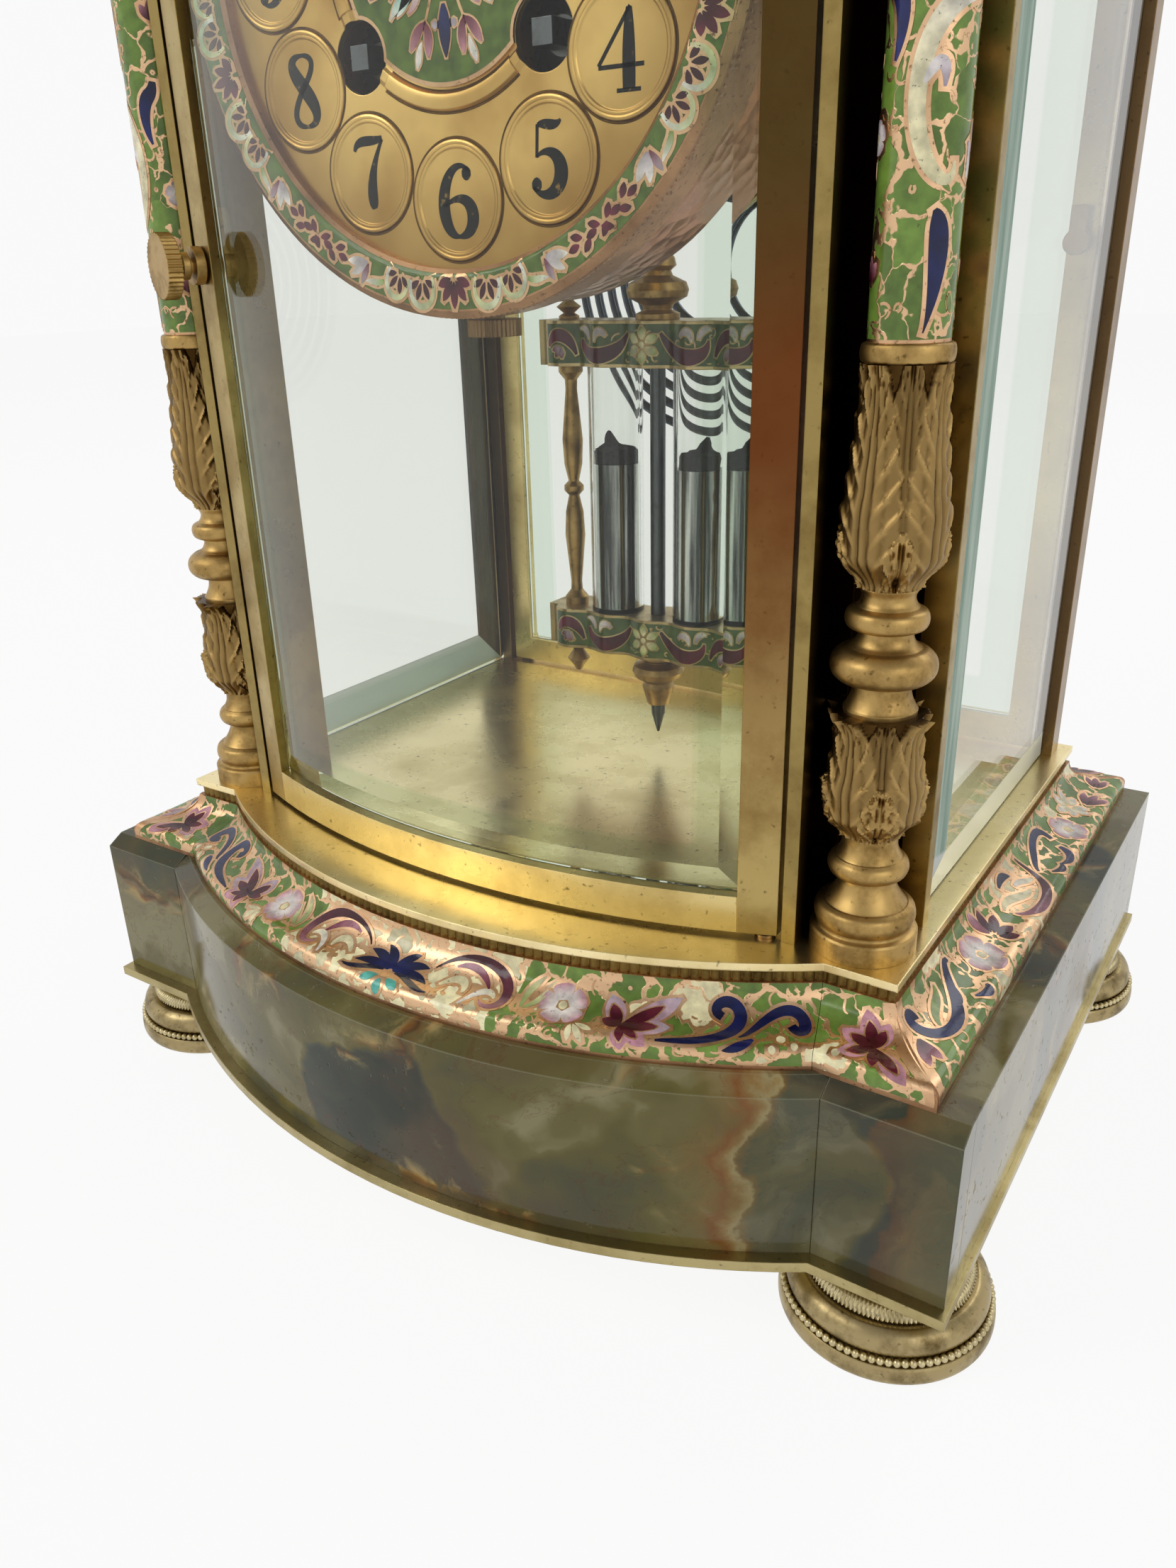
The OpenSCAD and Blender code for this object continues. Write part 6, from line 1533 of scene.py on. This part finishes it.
for k, bar_z in enumerate((bar_low[2], bar_high[2] - bar_h)):
    for facing in (-1, 1):
        def on_bar(u, v, lift):
            """A place on one side of a bar: u along it from its middle, v up it."""
            reach = np.interp(u, bar_marks, bar_depths) + lift
            return np.stack([u, bar_y + facing * reach, bar_z + v], axis=-1)

        inlay = Inlay(on_bar, mirrored=facing > 0)
        u, v = np.meshgrid(np.linspace(-bar_enamel_half, bar_enamel_half, 85),
                           np.linspace(bar_margin, bar_h - bar_margin, 5), indexing="ij")
        inlay.ground(np.stack([u, v], axis=-1), OLIVE)
        inlay.wires(curls(random.Random(41 + k), 46, (-26, 26), (1.2, 8.8), (1.5, 3.5)), 0.16)
        inlay.draw(bar_strokes, line=0.3)
        inlay.finish(f"pendulum_bar_{k}_{'front' if facing < 0 else 'rear'}_enamel", "pendulum",
                     "champleve_enamel",
                     bar_brass)

mercury_high = box_mm("pendulum_mercury")[1]
crust_r = (mercury_high[0] - vial_x) * 0.96
# Share of the radius and height of each ring of the crust
crust_profile = [(1, -0.4), (1, 2.4), (0.95, 3.2), (0.7, 3.7), (0.45, 4.2), (0.3, 5.4), (0.2, 6.2),
                 (0.08, 7)]
crust = []
chance = random.Random(53)
for hand in (-1, 1):
    rings = []
    a = np.linspace(0, 2 * math.pi, 28, endpoint=False)
    for share, height in crust_profile:
        r = crust_r * share * np.array([chance.uniform(0.6 if share < 0.9 else 0.9, 1.0) for _ in a])
        lean = 2.2 * hand * (1 - share)
        z = mercury_high[2] + height + np.array([chance.uniform(-0.3, 0.3) for _ in a])
        rings.append(np.stack([hand * vial_x + lean + r * np.cos(a), bar_y + r * np.sin(a), z], axis=-1))
    crust.append(loft(rings))
# Dull black oxide in soft lumps
crust_black, tree, shader, spot = new_material("mercury_oxide_crust")
lumps = add_node(tree, "TexNoise", {"Vector": spot, "Scale": per_mm(0.9), "Detail": 4.0})
sooted = add_node(tree, "Mix", {0: lumps, 6: "#0b0b0a", 7: "#33322e"}, data_type="RGBA")
rough = add_node(tree, "Bump", {"Height": lumps, "Strength": 0.8, "Distance": 0.0004})
feed(tree, shader, {"Base Color": sooted, "Normal": rough, "Roughness": 0.9})
add_piece("mercury_crust", *joined(crust), [crust_black], "pendulum", "mercury")


# Gong
# Flat spiral of blued steel wire, screwed to a block on a brass stand behind the movement.

gong_low, gong_high = box_mm("gong")
gong_turns, gong_out, gong_in, wire_r, gong_start = 7, 40.4, 12.0, 1.1, 42.0
stand_at = (30.0, dial_z - 23.9)
gong_x = stand_at[0] - gong_out * math.cos(math.radians(gong_start))
gong_z = stand_at[1] - gong_out * math.sin(math.radians(gong_start))
gong_y = gong_high[1] - wire_r
steps = gong_turns * 72
b = np.linspace(0, 2 * math.pi, 12, endpoint=False)
loops = []
for k in range(steps + 1):
    a = math.radians(gong_start) + 2 * math.pi * k / 72
    r = gong_out - (gong_out - gong_in) * k / steps + wire_r * np.cos(b)
    loops.append(np.stack([gong_x + r * math.cos(a), gong_y + wire_r * np.sin(b),
                           gong_z + r * math.sin(a)], axis=-1))
gong_steel = plain_steel("blued_gong_wire", "#4d5560", 0.22)
add_piece("gong_coil", *loft(loops), [gong_steel], "case", "dark_steel", stands_for=["gong"])

stand_x, stand_z = stand_at[0] / 1000, stand_at[1] / 1000
stand_r, block_size, block_depth = 0.0035, 0.01, 0.59
post_end = gong_y - wire_r - 5
block_y = (gong_y - wire_r - 3.05) / 1000
stand = []
bpy.ops.object.select_all(action="DESELECT")
bpy.ops.mesh.primitive_cylinder_add(vertices=40, radius=stand_r, depth=(post_end - gong_low[1]) / 1000,
                                    rotation=(math.pi / 2, 0, 0),
                                    location=(stand_x, (gong_low[1] + post_end) / 2000, stand_z))
stand.append(bpy.context.object)
bpy.ops.mesh.primitive_cube_add(size=block_size, location=(stand_x, block_y, stand_z),
                                scale=(1, block_depth, 1))
stand.append(bpy.context.object)
for part in stand:
    part.select_set(True)
bpy.ops.object.join()
gong_stand = bpy.context.object
gong_stand.name = "gong_stand"
bpy.ops.object.transform_apply(location=True, rotation=True, scale=True)
bpy.ops.object.modifier_add(type="BEVEL")
gong_stand.modifiers["Bevel"].width = 0.0005
gong_stand.modifiers["Bevel"].segments = 2
bpy.ops.object.modifier_apply(modifier="Bevel")
bpy.ops.object.shade_smooth_by_angle(angle=math.radians(40))
gong_stand.data.materials.append(turned_gilt)
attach(gong_stand, "case")


# Studio
# Pale floor, white surroundings and three broad soft lamps, with the camera of the photograph. The world
# is dimmer overhead, so that polished brass and glass don't wash out.

scene = bpy.context.scene
scene.view_settings.view_transform = "Standard"
bpy.ops.object.select_all(action="DESELECT")
bpy.ops.mesh.primitive_plane_add(size=8.0)
floor = bpy.context.object
floor.name = "studio_floor"


def seen_directly(tree):
    """1 for rays from the camera, off polish or through glass, which see plain white all round."""
    ray = add_node(tree, "LightPath")
    direct = add_node(tree, "Math",
                      {0: ray.outputs["Is Camera Ray"], 1: ray.outputs["Is Glossy Ray"]}, operation="ADD")
    return add_node(tree, "Math",
                    {0: direct, 1: ray.outputs["Is Transmission Ray"]}, operation="ADD", use_clamp=True)


paper, tree, shader, spot = new_material("white_paper")
feed(tree, shader, {"Base Color": "#fafafa", "Roughness": 0.9})
part = add_node(tree, "Math", {0: seen_directly(tree), 1: 0.9}, operation="MULTIPLY")
white = add_node(tree, "Emission", {"Color": (1, 1, 1, 1), "Strength": 1.0})
mixed = add_node(tree, "MixShader", {0: part, 1: shader, 2: white})
feed(tree, tree.nodes["Material Output"], {"Surface": mixed})
floor.data.materials.append(paper)

world = bpy.data.worlds.new("white_studio")
scene.world = world
world.use_nodes = True
tree = world.node_tree
sky = tree.nodes["Background"]
white = add_node(tree, "MapRange", {"Value": seen_directly(tree), "To Min": 0.55, "To Max": 0.95})
toward = add_node(tree, "SeparateXYZ", {0: add_node(tree, "TexCoord").outputs["Generated"]})
ceiling = add_node(tree, "MapRange", {"Value": toward.outputs["Z"], "From Min": 0.3, "From Max": 0.95,
                                      "To Min": 1.0, "To Max": 0.4})
level = add_node(tree, "Math", {0: white, 1: ceiling}, operation="MULTIPLY")
feed(tree, sky, {"Color": (1, 1, 1, 1), "Strength": level})

lamp_target = Vector((0, 0, 0.15))
for name, place, size, power in (("key_lamp", (-0.9, -1.0, 1.3), 0.9, 9.0),
                                 ("fill_lamp", (1.3, -0.6, 0.9), 0.9, 4.0),
                                 ("back_lamp", (0.4, 1.2, 1.2), 0.8, 4.0)):
    bpy.ops.object.light_add(type="AREA", location=place)
    lamp = bpy.context.object
    lamp.name = name
    lamp.data.size = size
    lamp.data.energy = power
    aim = Vector(place) - lamp_target
    lamp.rotation_euler = aim.to_track_quat("Z", "Y").to_euler()

camera_at = (0.14414, -0.22736, 0.18596)
yaw, pitch, roll = (math.radians(a) for a in (33.723, 23.622, -1.564))
forward = np.array([-math.sin(yaw) * math.cos(pitch), math.cos(yaw) * math.cos(pitch), -math.sin(pitch)])
level_right = np.array([math.cos(yaw), math.sin(yaw), 0.0])
level_up = np.cross(level_right, forward)
right = math.cos(roll) * level_right + math.sin(roll) * level_up
up = -math.sin(roll) * level_right + math.cos(roll) * level_up
camera = bpy.data.objects.new("photo_camera", bpy.data.cameras.new("photo_camera"))
scene.collection.objects.link(camera)
camera.data.sensor_width = 36.0
camera.data.lens = 27.352
camera.data.clip_start = 0.01
stance = [[right[k], up[k], -forward[k], camera_at[k]] for k in range(3)]
camera.matrix_world = Matrix(stance + [[0, 0, 0, 1]])
scene.camera = camera
